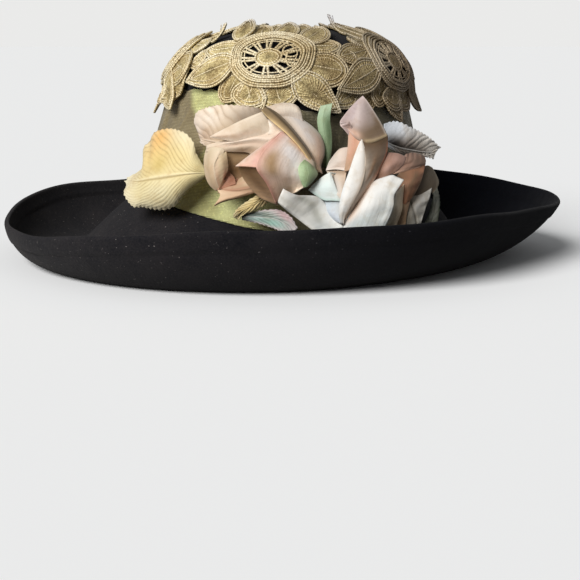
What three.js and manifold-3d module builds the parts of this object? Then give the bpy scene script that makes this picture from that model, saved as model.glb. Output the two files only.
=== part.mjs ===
// A woman's wool felt hat: a blocked felt hood with a rolled brim, a metallic cloth band, gold guipure lace round
// the crown, and a corsage of two silk roses and their leaves on the front.
// Millimetres, +Z up, the front of the hat towards -Y. The hat stands on its brim, and the origin is on the table
// under the middle of the brim.
import * as THREE from "three";
import { mergeVertices } from "three/addons/utils/BufferGeometryUtils.js";
import Module from "manifold-3d";

const wasm = await Module();
wasm.setup();

const DEG = Math.PI / 180;

// Felt: the thickness of the wall and of the turned and stitched hem, and the height of that hem.
const FELT = 2.2;
const HEM = 3.4;
const HEM_HEIGHT = 9;
// Gap left between pieces that touch.
const GAP = 0.35;

// Crown: an oval that leans a little to the side, with a nearly flat tip.
const CROWN = {
  sideFoot: 88,
  frontFoot: 103,
  sideShoulder: 75.5,
  frontShoulder: 89,
  shoulder: 106,
  top: 146,
  roundness: 2.9,
  lean: 5,
};

// Brim, seen from above, every 30 degrees: 0 is the side at +X and 270 is the front.
// foot: height where the crown meets the brim. gutter: radius of the lowest ring, on which the hat stands.
// rim and lift: radius and height of the turned-up edge.
const BRIM = [
  { at: 0, foot: 42, gutter: 133, rim: 181.5, lift: 36, belly: 0.38 },
  { at: 30, foot: 40, gutter: 137, rim: 180, lift: 40, belly: 0.5 },
  { at: 60, foot: 36, gutter: 138, rim: 176, lift: 43, belly: 0.6 },
  { at: 90, foot: 34, gutter: 140, rim: 175, lift: 43, belly: 0.6 },
  { at: 120, foot: 36, gutter: 148, rim: 183, lift: 36, belly: 0.6 },
  { at: 150, foot: 41, gutter: 156, rim: 190, lift: 34, belly: 0.6 },
  { at: 180, foot: 44, gutter: 154, rim: 181.5, lift: 26, belly: 0.75 },
  { at: 210, foot: 43, gutter: 152, rim: 177.5, lift: 23.5, belly: 0.7 },
  { at: 240, foot: 36, gutter: 147, rim: 179, lift: 33, belly: 0.7 },
  { at: 270, foot: 28, gutter: 136, rim: 175, lift: 38, belly: 0.7 },
  { at: 300, foot: 32, gutter: 121, rim: 173, lift: 40, belly: 0.6 },
  { at: 330, foot: 39, gutter: 120, rim: 166, lift: 38, belly: 0.5 },
];
const STANCE = 5; // half the width of the flat ring under the brim

// Cloth band: thickness, and height of its upper edge, which runs down from the left to the right of the front.
const BAND = { thick: 0.9, high: 105, low: 100 };

// Lace: the ground lies on the felt and over the band, and the edges of the motifs stand up from it.
// rise: distance from the middle of the felt to the lace. thick: the ground. relief: the height of the raised rings.
const LACE = { motifs: 5, rise: 3.1, thick: 1, relief: 0.8, centre: 23, turn: -6, seam: 0.6 };

const ROUND = 40; // directions round the hat at which the felt and the band have a section
const WALL_STEPS = 2; // steps in the crown's side

// A column of the brim table in any direction, by a closed Catmull-Rom curve.
function around(column, angle) {
  const step = 360 / BRIM.length;
  const place = (((angle % 360) + 360) % 360) / step;
  const i = Math.floor(place);
  const t = place - i;
  const [a, b, c, d] = [-1, 0, 1, 2].map(
    (k) => BRIM[(i + k + BRIM.length) % BRIM.length][column],
  );
  return (
    0.5 *
    (2 * b +
      (c - a) * t +
      (2 * a - 5 * b + 4 * c - d) * t * t +
      (3 * b - a - 3 * c + d) * t * t * t)
  );
}

// Radius of an oval with those half axes in one direction.
function oval(side, front, angle) {
  const c = Math.cos(angle * DEG) / side;
  const s = Math.sin(angle * DEG) / front;
  return 1 / Math.hypot(c, s);
}

function bezier(p, t) {
  const s = 1 - t;
  const w = [s * s * s, 3 * s * s * t, 3 * s * t * t, t * t * t];
  return [0, 1].map((k) => w.reduce((sum, x, i) => sum + x * p[i][k], 0));
}

// The crown's half section in one direction, from the tip's edge down: [radius, height].
function crownProfile(angle, tipSteps, wallSteps) {
  const shoulder = oval(CROWN.sideShoulder, CROWN.frontShoulder, angle);
  const foot = oval(CROWN.sideFoot, CROWN.frontFoot, angle);
  const footHeight = around("foot", angle) + 9;
  const points = [];
  for (let i = 1; i <= tipSteps; i++) {
    const turn = (i / tipSteps) * 90 * DEG;
    points.push([
      shoulder * Math.sin(turn) ** (2 / CROWN.roundness),
      CROWN.shoulder +
        (CROWN.top - CROWN.shoulder) * Math.cos(turn) ** (2 / CROWN.roundness),
    ]);
  }
  for (let i = 1; i <= wallSteps; i++) {
    const t = i / wallSteps;
    points.push([
      shoulder + (foot - shoulder) * t,
      CROWN.shoulder + (footHeight - CROWN.shoulder) * t,
    ]);
  }
  return points;
}

// The brim's half section: from the crown's foot down to the gutter, along the flat ring, and up to the rim.
function brimProfile(angle, slopeSteps, riseSteps) {
  const foot = oval(CROWN.sideFoot, CROWN.frontFoot, angle);
  const height = around("foot", angle);
  const gutter = around("gutter", angle);
  const floor = FELT / 2;
  const rim = around("rim", angle);
  const lift = around("lift", angle);
  const inner = gutter - STANCE;
  const outer = gutter + STANCE;
  const points = [[foot + 1.5, height + 3]];
  const slope = [
    [foot + 6, height - 2],
    [foot + 6 + (inner - foot) * 0.4, height - 2 - (height - floor) * 0.35],
    [inner - (inner - foot) * 0.25, floor],
    [inner, floor],
  ];
  for (let i = 0; i <= slopeSteps; i++)
    points.push(bezier(slope, i / slopeSteps));
  const belly = around("belly", angle);
  const wide = rim - outer;
  const tall = lift - floor;
  const rise = [
    [outer, floor],
    [outer + wide * (0.33 + 0.22 * belly), floor + tall * 0.33 * (1 - belly)],
    [outer + wide * (0.67 + 0.33 * belly), floor + tall * (0.67 - 0.32 * belly)],
    [rim, lift],
  ];
  for (let i = 0; i <= riseSteps; i++) points.push(bezier(rise, i / riseSteps));
  return points;
}

// A half section's point in the hat's frame. The crown leans: its sections shift sideways with height.
function place(angle, [radius, height]) {
  const shift =
    CROWN.lean *
    THREE.MathUtils.clamp((height - 60) / (CROWN.top - 60), 0, 1);
  return new THREE.Vector3(
    radius * Math.cos(angle * DEG) + shift,
    radius * Math.sin(angle * DEG),
    height,
  );
}

// Normals of a half section, pointing out of the crown and up from the brim.
function profileNormals(points) {
  return points.map((p, i) => {
    const a = points[Math.max(0, i - 1)];
    const b = points[Math.min(points.length - 1, i + 1)];
    const along = [b[0] - a[0], b[1] - a[1]];
    const length = Math.hypot(...along);
    // The ring on which the hat stands is flat.
    if (p[1] === FELT / 2) return [0, 1];
    return [-along[1] / length, along[0] / length];
  });
}

function offsetProfile(points, distance) {
  const normals = profileNormals(points);
  return points.map((p, i) => {
    const d = typeof distance === "function" ? distance(i) : distance;
    return [p[0] + normals[i][0] * d, p[1] + normals[i][1] * d];
  });
}

function solidFromFaces(vertices, faces) {
  const geometry = new THREE.BufferGeometry();
  geometry.setAttribute(
    "position",
    new THREE.Float32BufferAttribute(vertices.flatMap((v) => [v.x, v.y, v.z]), 3),
  );
  geometry.setIndex(faces.flat());
  return manifoldOf(geometry);
}

function manifoldOf(geometry) {
  const bare = new THREE.BufferGeometry();
  bare.setAttribute("position", geometry.getAttribute("position"));
  if (geometry.index) bare.setIndex(geometry.index);
  const merged = mergeVertices(bare, 1e-4);
  return new wasm.Manifold(
    new wasm.Mesh({
      numProp: 3,
      vertProperties: new Float32Array(merged.getAttribute("position").array),
      triVerts: new Uint32Array(merged.index.array),
    }),
  );
}

function geometryOf(manifold) {
  const mesh = manifold.getMesh();
  const geometry = new THREE.BufferGeometry();
  geometry.setAttribute(
    "position",
    new THREE.BufferAttribute(mesh.vertProperties, 3),
  );
  geometry.setIndex(new THREE.BufferAttribute(mesh.triVerts, 1));
  const flat = geometry.toNonIndexed();
  flat.computeVertexNormals();
  return flat;
}

// A closed solid of revolution-like sections: loops[k] is the closed half section in the k-th direction.
function sweepRound(loops) {
  const count = loops[0].length;
  const vertices = loops.flat();
  const faces = [];
  for (let k = 0; k < loops.length; k++) {
    const next = (k + 1) % loops.length;
    for (let i = 0; i < count; i++) {
      const j = (i + 1) % count;
      const [a, b, c, d] = [
        k * count + i,
        next * count + i,
        next * count + j,
        k * count + j,
      ];
      faces.push([a, d, c], [a, c, b]);
    }
  }
  return { vertices, faces };
}

const directions = Array.from({ length: ROUND }, (_, k) => (k * 360) / ROUND);

// The felt hood: one wall from the tip of the crown to the rim, with the poles closed by a fan at the tip.
function feltHood() {
  const loops = directions.map((angle) => {
    const middle = [
      ...crownProfile(angle, 5, WALL_STEPS),
      ...brimProfile(angle, 3, 4),
    ];
    const rimHeight = middle[middle.length - 1][1];
    const half = (i) =>
      (rimHeight - middle[i][1] < HEM_HEIGHT && i > middle.length - 4
        ? HEM
        : FELT) / 2;
    const outside = offsetProfile(middle, half);
    const inside = offsetProfile(middle, (i) => -half(i));
    const edge = [
      middle[middle.length - 1][0],
      middle[middle.length - 1][1] + HEM / 2,
    ];
    return [...outside, edge, ...inside.reverse()].map((p) => place(angle, p));
  });
  const count = loops[0].length;
  const { vertices, faces } = sweepRound(loops);
  const open = faces.filter((f) => !isTipFace(f, count));
  const tip = place(0, [0, 0]);
  const topOut = vertices.length;
  vertices.push(
    tip.clone().set(CROWN.lean, 0, CROWN.top + FELT / 2),
    tip.clone().set(CROWN.lean, 0, CROWN.top - FELT / 2),
  );
  for (let k = 0; k < ROUND; k++) {
    const next = (k + 1) % ROUND;
    open.push([topOut, k * count, next * count]);
    open.push([
      topOut + 1,
      next * count + count - 1,
      k * count + count - 1,
    ]);
  }
  return solidFromFaces(vertices, open);
}

// The strip that would join the outside's first ring to the inside's last one, across the wall.
function isTipFace(face, count) {
  const rows = face.map((v) => v % count);
  return rows.includes(0) && rows.includes(count - 1);
}

// The band: a sleeve round the side of the crown that ends on the turn of the brim.
function clothBand() {
  const near = FELT / 2 + GAP;
  const loops = directions.map((angle) => {
    const side = Math.cos(angle * DEG);
    const upper = BAND.low + (BAND.high - BAND.low) * (0.5 - 0.5 * side);
    const wall = crownProfile(angle, 1, WALL_STEPS);
    const t = (CROWN.shoulder - upper) / (CROWN.shoulder - wall[1][1]);
    wall[0] = wall[0].map((x, k) => x + (wall[1][k] - x) * t);
    const middle = [...wall, brimProfile(angle, 3, 1)[1]];
    const inside = offsetProfile(middle, near);
    const outside = offsetProfile(middle, near + BAND.thick);
    return [...outside, ...inside.reverse()].map((p) => place(angle, p));
  });
  const { vertices, faces } = sweepRound(loops);
  return solidFromFaces(vertices, faces);
}

// Everything inside this surface is taken up by the hat itself: it is cut out of the flowers.
function hatEnvelope(extra) {
  const loops = directions.map((angle) => {
    const middle = [...crownProfile(angle, 5, 4), ...brimProfile(angle, 3, 4)];
    const clear = (i) => {
      const height = middle[i][1];
      const overLace = LACE.rise + LACE.thick + LACE.relief;
      const overBand = FELT / 2 + GAP + BAND.thick;
      const cover = height > 92 ? overLace : i < 11 ? overBand : HEM / 2;
      return cover + GAP + extra;
    };
    const outside = offsetProfile(middle, clear);
    const last = outside[outside.length - 1];
    return [[0, CROWN.top + 6], ...outside, [last[0], -10], [0, -10]].map((p) =>
      place(angle, p),
    );
  });
  const { vertices, faces } = sweepRound(loops);
  return solidFromFaces(vertices, faces);
}

// Lace is drawn flat first: u runs round the hat from the seam at the back, v up over the shoulder from the top of
// the side, w out of the felt. This table turns u into a direction by the length of the crown's oval.
const OVAL_STEPS = 360;
const ovalLength = [0];
for (let k = 1; k <= OVAL_STEPS; k++) {
  const [a, b] = [k - 1, k].map((i) => {
    const angle = 90 + (i * 360) / OVAL_STEPS;
    const r = oval(CROWN.sideShoulder, CROWN.frontShoulder, angle);
    return [r * Math.cos(angle * DEG), r * Math.sin(angle * DEG)];
  });
  ovalLength.push(ovalLength[k - 1] + Math.hypot(b[0] - a[0], b[1] - a[1]));
}
const LACE_LENGTH = ovalLength[OVAL_STEPS];
const PITCH = LACE_LENGTH / LACE.motifs;

function directionAt(u) {
  const length = THREE.MathUtils.clamp(u, 0, LACE_LENGTH - 1e-6);
  const k = ovalLength.findIndex((x) => x > length);
  const t = (length - ovalLength[k - 1]) / (ovalLength[k] - ovalLength[k - 1]);
  return 90 + ((k - 1 + t) * 360) / OVAL_STEPS;
}

// A point of the flat lace, wrapped round the crown.
function wrap(u, v, w) {
  const angle = directionAt(u);
  const arc = crownProfile(angle, 24, 1);
  const rows = arc.slice(0, 24).reverse();
  let p = rows[0];
  let along = [arc[24][0] - p[0], arc[24][1] - p[1]].map((x) => -x);
  let rest = v;
  for (let i = 1; i < rows.length && rest > 0; i++) {
    const step = [rows[i][0] - rows[i - 1][0], rows[i][1] - rows[i - 1][1]];
    const length = Math.hypot(...step);
    along = step;
    const part = Math.min(1, rest / length);
    p = [rows[i - 1][0] + step[0] * part, rows[i - 1][1] + step[1] * part];
    rest -= length;
  }
  const size = Math.hypot(...along);
  const [dr, dz] = along.map((x) => x / size);
  if (v < 0) p = [p[0] + dr * v, p[1] + dz * v];
  return place(angle, [p[0] + dz * w, p[1] - dr * w]);
}

// Outlines of the lace's elements, as lists of [u, v].
function ellipse(u, v, a, b, count, phase = 0) {
  return Array.from({ length: count }, (_, k) => {
    const t = ((k + phase) / count) * 2 * Math.PI;
    return [u + a * Math.cos(t), v + b * Math.sin(t)];
  });
}

// A petal or a leaf: blunt or pointed at its tip, in a direction given in degrees.
function lobe(u, v, towards, length, width, sharp, steps = 3) {
  const half = Array.from({ length: steps + 1 }, (_, k) => {
    const t = k / steps;
    return [length * t, (width / 2) * Math.sin(Math.PI * t ** 0.9) ** sharp];
  });
  const back = half.slice(1, -1).reverse().map(([x, y]) => [x, -y]);
  const [c, s] = [Math.cos(towards * DEG), Math.sin(towards * DEG)];
  return [...half, ...back].map(([x, y]) => [u + x * c - y * s, v + x * s + y * c]);
}

function plate(outline, low, high) {
  const shape = new THREE.Shape(outline.map(([u, v]) => new THREE.Vector2(u, v)));
  const geometry = new THREE.ExtrudeGeometry(shape, {
    depth: high - low,
    bevelEnabled: false,
    curveSegments: 1,
  });
  geometry.translate(0, 0, low);
  return manifoldOf(geometry);
}

// The rounds of a lace rose, all centred on the rose: half width and half height.
const ROSE = { eye: [9, 6.5], windows: [14.5, 11.5], ring: [21, 17], edge: [29, 24] };
// The lobes and leaves about it. u and v: where each starts, from the rose's centre.
const LOBES = [
  { u: -14, v: -8, towards: 222, length: 36, width: 25, sharp: 0.6 },
  { u: 4, v: -14, towards: 285, length: 22, width: 26, sharp: 0.6 },
  { u: 16, v: -6, towards: 326, length: 36, width: 22, sharp: 0.7 },
  { u: 20, v: 4, towards: 2, length: 36, width: 20, sharp: 0.6 },
  { u: 12, v: 14, towards: 46, length: 30, width: 18, sharp: 0.8 },
  { u: -4, v: 18, towards: 100, length: 19, width: 22, sharp: 0.6 },
  { u: -16, v: 10, towards: 146, length: 32, width: 17, sharp: 0.9 },
  { u: -22, v: -1, towards: 182, length: 38, width: 20, sharp: 0.8 },
];
// Slots that part the lobes where the felt shows through.
const SLOTS = [
  { u: -28, v: -10, towards: 186, length: 20, width: 2.6 },
  { u: 2, v: -25, towards: 268, length: 8, width: 4 },
  { u: 27, v: -9, towards: 338, length: 16, width: 2.6 },
  { u: 27, v: 11, towards: 20, length: 16, width: 2.6 },
];

function flatLace() {
  const low = LACE.rise;
  const high = low + LACE.thick;
  const added = [];
  const cut = [];
  for (let k = 0; k < LACE.motifs; k++) {
    const u = (k + 0.5) * PITCH + (LACE.turn / 72) * PITCH;
    const v = LACE.centre;
    const rounds = (size, count, phase = 0) =>
      ellipse(u, v, ...ROSE[size], count, phase);
    added.push(plate(rounds("edge", 12), low, high));
    for (const r of LOBES)
      added.push(plate(
        lobe(u + r.u, v + r.v, r.towards, r.length, r.width, r.sharp), low, high));
    const raised = high + LACE.relief;
    added.push(plate(rounds("ring", 10), low, raised)
      .subtract(plate(rounds("windows", 10), low - 1, raised + 1)));
    added.push(plate(rounds("eye", 7), low, raised));
    for (let i = 0; i < 8; i++) {
      const t = ((i + 0.5) / 8) * 2 * Math.PI;
      cut.push(plate(
        ellipse(u + 12.2 * Math.cos(t), v + 9.3 * Math.sin(t), 2.1, 1.7, 4),
        low - 1, raised + 1));
    }
    for (const r of SLOTS)
      cut.push(plate(
        lobe(u + r.u, v + r.v, r.towards, r.length, r.width, 0.6, 2),
        low - 1, raised + 1));
  }
  const ends = [-60, LACE_LENGTH - LACE.seam / 2].map((u) =>
    plate([[u, -60], [u + 60 + LACE.seam / 2, -60],
      [u + 60 + LACE.seam / 2, 80], [u, 80]], low - 2, high + 3));
  const join = (list) => list.reduce((all, part) => all.add(part));
  return join(added).subtract(join(cut)).subtract(join(ends));
}

// Split edges that are longer than a limit, so that a flat plate can bend: every triangle with k long edges
// becomes k + 1 triangles.
function splitLong(positions, index, limit) {
  const points = Array.from({ length: positions.length / 3 }, (_, i) =>
    Array.from(positions.slice(3 * i, 3 * i + 3)),
  );
  let faces = Array.from({ length: index.length / 3 }, (_, i) =>
    Array.from(index.slice(3 * i, 3 * i + 3)),
  );
  for (let pass = 0; pass < 8; pass++) {
    const middle = new Map();
    const split = (a, b) => {
      const key = a < b ? a * 1e6 + b : b * 1e6 + a;
      if (middle.has(key)) return middle.get(key);
      const [p, q] = [points[a], points[b]];
      const length = Math.hypot(p[0] - q[0], (p[1] - q[1]) * 1.15);
      if (length > limit) {
        middle.set(key, points.length);
        points.push(p.map((x, k) => (x + q[k]) / 2));
      } else middle.set(key, -1);
      return middle.get(key);
    };
    const next = [];
    for (const [a, b, c] of faces) {
      const m = [split(a, b), split(b, c), split(c, a)];
      const corners = [a, b, c];
      const ring = corners.flatMap((x, i) => (m[i] < 0 ? [x] : [x, m[i]]));
      const start = m.findIndex((x) => x >= 0);
      if (start < 0) next.push([a, b, c]);
      else if (ring.length === 6)
        next.push([a, m[0], m[2]], [m[0], b, m[1]], [m[2], m[1], c], m);
      else {
        const from = ring.indexOf(m[start]);
        for (let i = 1; i < ring.length - 1; i++)
          next.push([0, i, i + 1].map((j) => ring[(from + j) % ring.length]));
      }
    }
    if (next.length === faces.length) break;
    faces = next;
  }
  return { points, faces };
}

function laceTrim() {
  const mesh = flatLace().getMesh();
  const { points, faces } = splitLong(mesh.vertProperties, mesh.triVerts, 17.5);
  return largest(solidFromFaces(points.map((p) => wrap(...p)), faces));
}

// Silk petals and leaves. Each is a four-cornered patch; a to d are its corners [x, y, z] in turn, seen from the
// front: lower left, lower right, upper right, upper left. left, right, foot and tip bow its edges outwards, and cup
// and bow push its middle forward, across and along. claw names the edge by which it is fixed to the flower's heart.
const PETAL = 1.1; // thickness of the silk with its stiffening
const PETALS_LEFT = [
  { a: [16, -117, 73], b: [22, -112, 65], c: [12, -106, 96], d: [-12, -107, 99],
    left: 0, right: 7, foot: 0, tip: 6, cup: 2, bow: 4, claw: "left" },
  { a: [15, -126, 70], b: [20, -121, 72], c: [-8, -118, 102.5], d: [-13, -121, 98.5],
    left: -1, right: 3, foot: 0, tip: 1, cup: 2.5, bow: 0, claw: "foot" },
  { a: [-41, -109, 84], b: [-6, -121, 84], c: [-8, -117, 96], d: [-13, -113, 99],
    left: 0, right: 0, foot: 1, tip: 0, cup: 3, bow: 0, claw: "right" },
  { a: [-35, -117, 79], b: [-5, -126, 81], c: [-4, -122, 87], d: [-38, -111, 84],
    left: 1, right: 0, foot: 1, tip: 0, cup: 2, bow: 0, claw: "right" },
  { a: [-4, -134, 47.5], b: [14, -126, 53], c: [19, -122, 71], d: [-1, -129, 88],
    left: 9, right: 4, foot: 2, tip: 3, cup: 8, bow: 3, claw: "foot" },
  { a: [-27, -134, 67], b: [-14, -141, 65], c: [-1, -133, 83], d: [-3, -128, 88],
    left: 0, right: 0, foot: 0, tip: 0, cup: 1, bow: 0, claw: "tip" },
  { a: [-11, -125, 49], b: [-4, -134, 47.5], c: [-14, -140, 65], d: [-25, -132, 66.5],
    left: -1, right: 0, foot: 0, tip: 0, cup: -1, bow: 0, claw: "foot" },
  { a: [-38, -117, 58], b: [-33, -123, 60], c: [-32, -121, 76], d: [-40, -113, 72],
    left: 1, right: -1, foot: 0, tip: 1, cup: 1, bow: 0, claw: "foot" },
  { a: [-29, -115, 60], b: [-20, -113, 62], c: [-19, -111, 77], d: [-33, -113, 76],
    left: 0, right: 0, foot: 0, tip: 1, cup: -2, bow: 0, claw: "right" },
  { a: [-41, -107, 52], b: [-34, -113, 55], c: [-35, -111, 79], d: [-45, -103, 76],
    left: 3, right: 0, foot: 1, tip: 2, cup: 2, bow: 0, claw: "right" },
  { a: [-37, -119, 55.5], b: [-14, -125, 54], c: [-20, -124, 61], d: [-31, -119, 68],
    left: 0, right: 0, foot: 0, tip: 0, cup: 2, bow: 0, claw: "right" },
  { a: [-38, -122, 46], b: [-14, -121, 52], c: [-15, -119, 57], d: [-36, -117, 56],
    left: 1, right: 0, foot: -1, tip: 0, cup: 2, bow: 0, claw: "right" },
];
const PETALS_RIGHT = [
  { a: [40, -121, 85], b: [59, -110, 84], c: [45.5, -102, 108], d: [32, -113, 92],
    left: -2, right: 2, foot: 0, tip: 2, cup: 5, bow: 2, claw: "foot" },
  { a: [35, -119, 66], b: [41, -127, 74], c: [44.5, -123, 84], d: [37.5, -116, 92],
    left: -1, right: 0, foot: 0, tip: 0, cup: 1, bow: 0, claw: "foot" },
  { a: [32.5, -136, 36], b: [37, -139, 40], c: [46, -128, 80], d: [43.5, -127, 82],
    left: 2, right: 4, foot: 0, tip: 0, cup: 2, bow: 2, claw: "tip" },
  { a: [37, -136, 38], b: [46, -129, 50], c: [59, -111, 81], d: [45, -123, 81],
    left: -3, right: 3, foot: 0, tip: 0, cup: -2, bow: 2, claw: "right" },
  { a: [24, -109, 65], b: [38, -117, 66], c: [37, -111, 79], d: [28, -106, 73],
    left: 1, right: 0, foot: 0, tip: 2, cup: 2, bow: 0, claw: "right" },
  { a: [33, -120, 51.5], b: [38, -124, 58], c: [39, -117, 67], d: [28, -113, 65],
    left: 0, right: 0, foot: 0, tip: 0, cup: 1, bow: 0, claw: "right" },
  { a: [14, -125, 53.5], b: [33, -130, 47], c: [27, -121, 63.5], d: [16, -123, 55.5],
    left: 0, right: 0, foot: 1, tip: 1, cup: 1, bow: 0, claw: "right" },
  { a: [24, -123, 40], b: [34, -130, 36], c: [34, -126, 48], d: [23, -121, 49],
    left: 1, right: 0, foot: 1, tip: 0, cup: 1, bow: 0, claw: "right" },
  { a: [-3, -132, 48], b: [22, -136, 31], c: [34, -128, 42], d: [1, -128, 56],
    left: 1, right: 0, foot: -2, tip: 1, cup: -3, bow: 0, claw: "right" },
  { a: [36, -136, 32], b: [58, -129, 34], c: [69, -117, 60], d: [53, -123, 63],
    left: 0, right: -4, foot: 1, tip: 1, cup: 3, bow: 4, claw: "tip" },
  { a: [57, -108, 60], b: [84, -86, 62], c: [84, -82, 70], d: [61, -98, 74],
    left: 0, right: 2, foot: 1, tip: -2, cup: 3, bow: 0, claw: "left" },
  { a: [68, -110, 40], b: [78, -98, 44], c: [84, -84, 63], d: [65, -104, 58],
    left: 0, right: 3, foot: 1, tip: 0, cup: 3, bow: 0, claw: "left" },
  { a: [61, -117, 31], b: [69, -110, 31], c: [71, -108, 50], d: [62, -111, 52],
    left: 0, right: 0, foot: 0, tip: 0, cup: 2, bow: 0, claw: "left" },
  { a: [69, -104, 30], b: [84, -96, 31], c: [89, -84, 51], d: [74, -96, 43],
    left: 0, right: 1, foot: 1, tip: 0, cup: -2, bow: 0, claw: "tip" },
  { a: [78, -87, 46], b: [92, -79, 49], c: [87, -73, 64], d: [77, -80, 66],
    left: 0, right: 1, foot: 0, tip: 1, cup: 2, bow: 0, claw: "left" },
];
const HEART_LEFT = [-12, -108, 68];
const HEART_RIGHT = [46, -102, 62];

const LEAVES = {
  leaf_gold: { a: [-89, -79, 41], b: [-54, -95, 46], c: [-47, -97, 79], d: [-81, -62, 81],
    left: 11, right: 7, foot: 5, tip: 6, cup: 5, bow: 2, color: 0xd8c47e },
  leaf_ivory: { a: [-46, -93, 81], b: [-14, -103, 86], c: [-13, -98, 101], d: [-49, -88, 98],
    left: 3, right: 0, foot: 0, tip: 3, cup: 3, bow: 2, color: 0xc9b59a },
  leaf_small_gold: { a: [-28, -114, 38], b: [-21, -119, 39], c: [-10, -115, 48], d: [-19, -110, 52],
    left: 1, right: 1, foot: 1, tip: 1, cup: 2, bow: 0, color: 0xb9a46a },
  leaf_teal: { a: [-10, -120, 35], b: [20, -124, 29], c: [15, -120, 37], d: [-2, -117, 42],
    left: 0, right: 1, foot: 1, tip: 2, cup: 2, bow: 0, color: 0x86968a },
  leaf_strap: { a: [25, -103, 68], b: [31, -100, 69], c: [29, -97, 104], d: [21, -99, 101],
    left: 3, right: 1, foot: 0, tip: 1, cup: 2, bow: 0, color: 0x8fae86 },
  leaf_bud: { a: [9, -136, 55], b: [16, -130, 51], c: [20, -127, 67], d: [12, -135, 71],
    left: 1, right: 1, foot: 1, tip: 1, cup: 1, bow: 0, color: 0x9dbd8b },
  leaf_ruffled: { a: [62, -80, 75], b: [91, -66, 69], c: [93, -62, 78], d: [60, -78, 90],
    left: 0, right: 1, foot: -1, tip: 4, cup: 2, bow: 0, color: 0xb9b2ab },
  leaf_green: { a: [85, -91, 30], b: [91, -88, 30], c: [95, -80, 50], d: [90, -82, 52],
    left: 0, right: 1, foot: 0, tip: 0, cup: 1, bow: 0, color: 0x5d6650 },
};

const vec = (p) => new THREE.Vector3(...p);

// A point of a patch: the corners mixed, then the bows of the edges and of the middle added.
function patchPoint(r, u, v) {
  const [a, b, c, d] = [r.a, r.b, r.c, r.d].map(vec);
  const out = c.clone().sub(a).cross(d.clone().sub(b)).normalize();
  const mix = (p, q, t) => p.clone().lerp(q, t);
  const point = mix(mix(a, b, u), mix(d, c, u), v);
  const across = mix(b.clone().sub(a), c.clone().sub(d), v).normalize();
  const along = mix(d.clone().sub(a), c.clone().sub(b), u).normalize();
  const archU = 4 * u * (1 - u);
  const archV = 4 * v * (1 - v);
  return point
    .addScaledVector(across, archV * (u * r.right - (1 - u) * r.left))
    .addScaledVector(along, archU * (v * r.tip - (1 - v) * r.foot))
    .addScaledVector(out, archU * r.cup + archV * r.bow);
}

// The patch as a thin closed plate, grown at its edges by a margin.
function patchPlate(r, steps, thick, margin = 0) {
  const at = (i) => (i / steps) * (1 + 2 * margin) - margin;
  const rows = [];
  for (let j = 0; j <= steps; j++)
    for (let i = 0; i <= steps; i++) {
      const [u, v] = [at(i), at(j)];
      const p = patchPoint(r, u, v);
      const du = patchPoint(r, u + 0.01, v).sub(patchPoint(r, u - 0.01, v));
      const dv = patchPoint(r, u, v + 0.01).sub(patchPoint(r, u, v - 0.01));
      rows.push([p, du.cross(dv).normalize()]);
    }
  const side = steps + 1;
  const count = rows.length;
  const vertices = [
    ...rows.map(([p, n]) => p.clone().addScaledVector(n, thick / 2)),
    ...rows.map(([p, n]) => p.clone().addScaledVector(n, -thick / 2)),
  ];
  const faces = [];
  for (let j = 0; j < steps; j++)
    for (let i = 0; i < steps; i++) {
      const k = j * side + i;
      const [p, q, s, t] = [k, k + 1, k + side + 1, k + side];
      faces.push([p, q, s], [p, s, t]);
      faces.push(...[[p, s, q], [p, t, s]].map((f) => f.map((x) => x + count)));
    }
  const border = [];
  for (let i = 0; i < steps; i++) border.push([i, i + 1]);
  for (let j = 0; j < steps; j++)
    border.push([j * side + steps, (j + 1) * side + steps]);
  for (let i = steps; i > 0; i--)
    border.push([steps * side + i, steps * side + i - 1]);
  for (let j = steps; j > 0; j--) border.push([j * side, (j - 1) * side]);
  for (const [p, q] of border)
    faces.push([p, p + count, q + count], [p, q + count, q]);
  return solidFromFaces(vertices, faces);
}

// The narrow claw that ties a petal to the heart of its flower.
function claw(r, heart, thick) {
  const edge = {
    left: [[0, 0.35], [0, 0.65]],
    right: [[1, 0.65], [1, 0.35]],
    foot: [[0.65, 0], [0.35, 0]],
    tip: [[0.35, 1], [0.65, 1]],
  }[r.claw];
  const [p, q] = edge.map(([u, v]) => patchPoint(r, u, v));
  const inward = patchPoint(r, 0.5, 0.5);
  const [start, finish] = [p, q].map((x) => x.clone().lerp(inward, 0.12));
  const centre = vec(heart);
  const spread = q.clone().sub(p).multiplyScalar(0.4);
  const corners = [
    start,
    centre.clone().addScaledVector(spread, -0.5),
    centre.clone().addScaledVector(spread, 0.5),
    finish,
  ].map((x) => x.toArray());
  const flat = { left: 0, right: 0, foot: 0, tip: 0, cup: 0, bow: 0 };
  const [a, b, c, d] = corners;
  return patchPlate({ a, b, c, d, ...flat }, 1, thick);
}

// Small petals need fewer steps than large ones.
function petalSteps(r) {
  const size = vec(r.a).distanceTo(vec(r.c));
  return THREE.MathUtils.clamp(Math.round(size / 12), 2, 4);
}

function rose(petals, heart, thick, margin) {
  const core = new THREE.SphereGeometry(6, 7, 5);
  core.translate(...heart);
  const parts = petals.flatMap((r) => [
    patchPlate(r, petalSteps(r), thick, margin),
    claw(r, heart, thick),
  ]);
  return parts.reduce((all, part) => all.add(part), manifoldOf(core));
}

function largest(manifold) {
  return manifold
    .decompose()
    .reduce((best, part) => (part.volume() > best.volume() ? part : best));
}

const envelope = hatEnvelope(0);
const fat = PETAL + 2 * GAP;
const roseLeft = largest(
  rose(PETALS_LEFT, HEART_LEFT, PETAL, 0).subtract(envelope),
);
const roseLeftFat = rose(PETALS_LEFT, HEART_LEFT, fat, 0.03);
const roseRight = largest(
  rose(PETALS_RIGHT, HEART_RIGHT, PETAL, 0).subtract(envelope).subtract(roseLeftFat),
);
let taken = roseLeftFat.add(rose(PETALS_RIGHT, HEART_RIGHT, fat, 0.03));


const material = (color, roughness, metalness = 0) =>
  new THREE.MeshStandardMaterial({ color, roughness, metalness });

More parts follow.
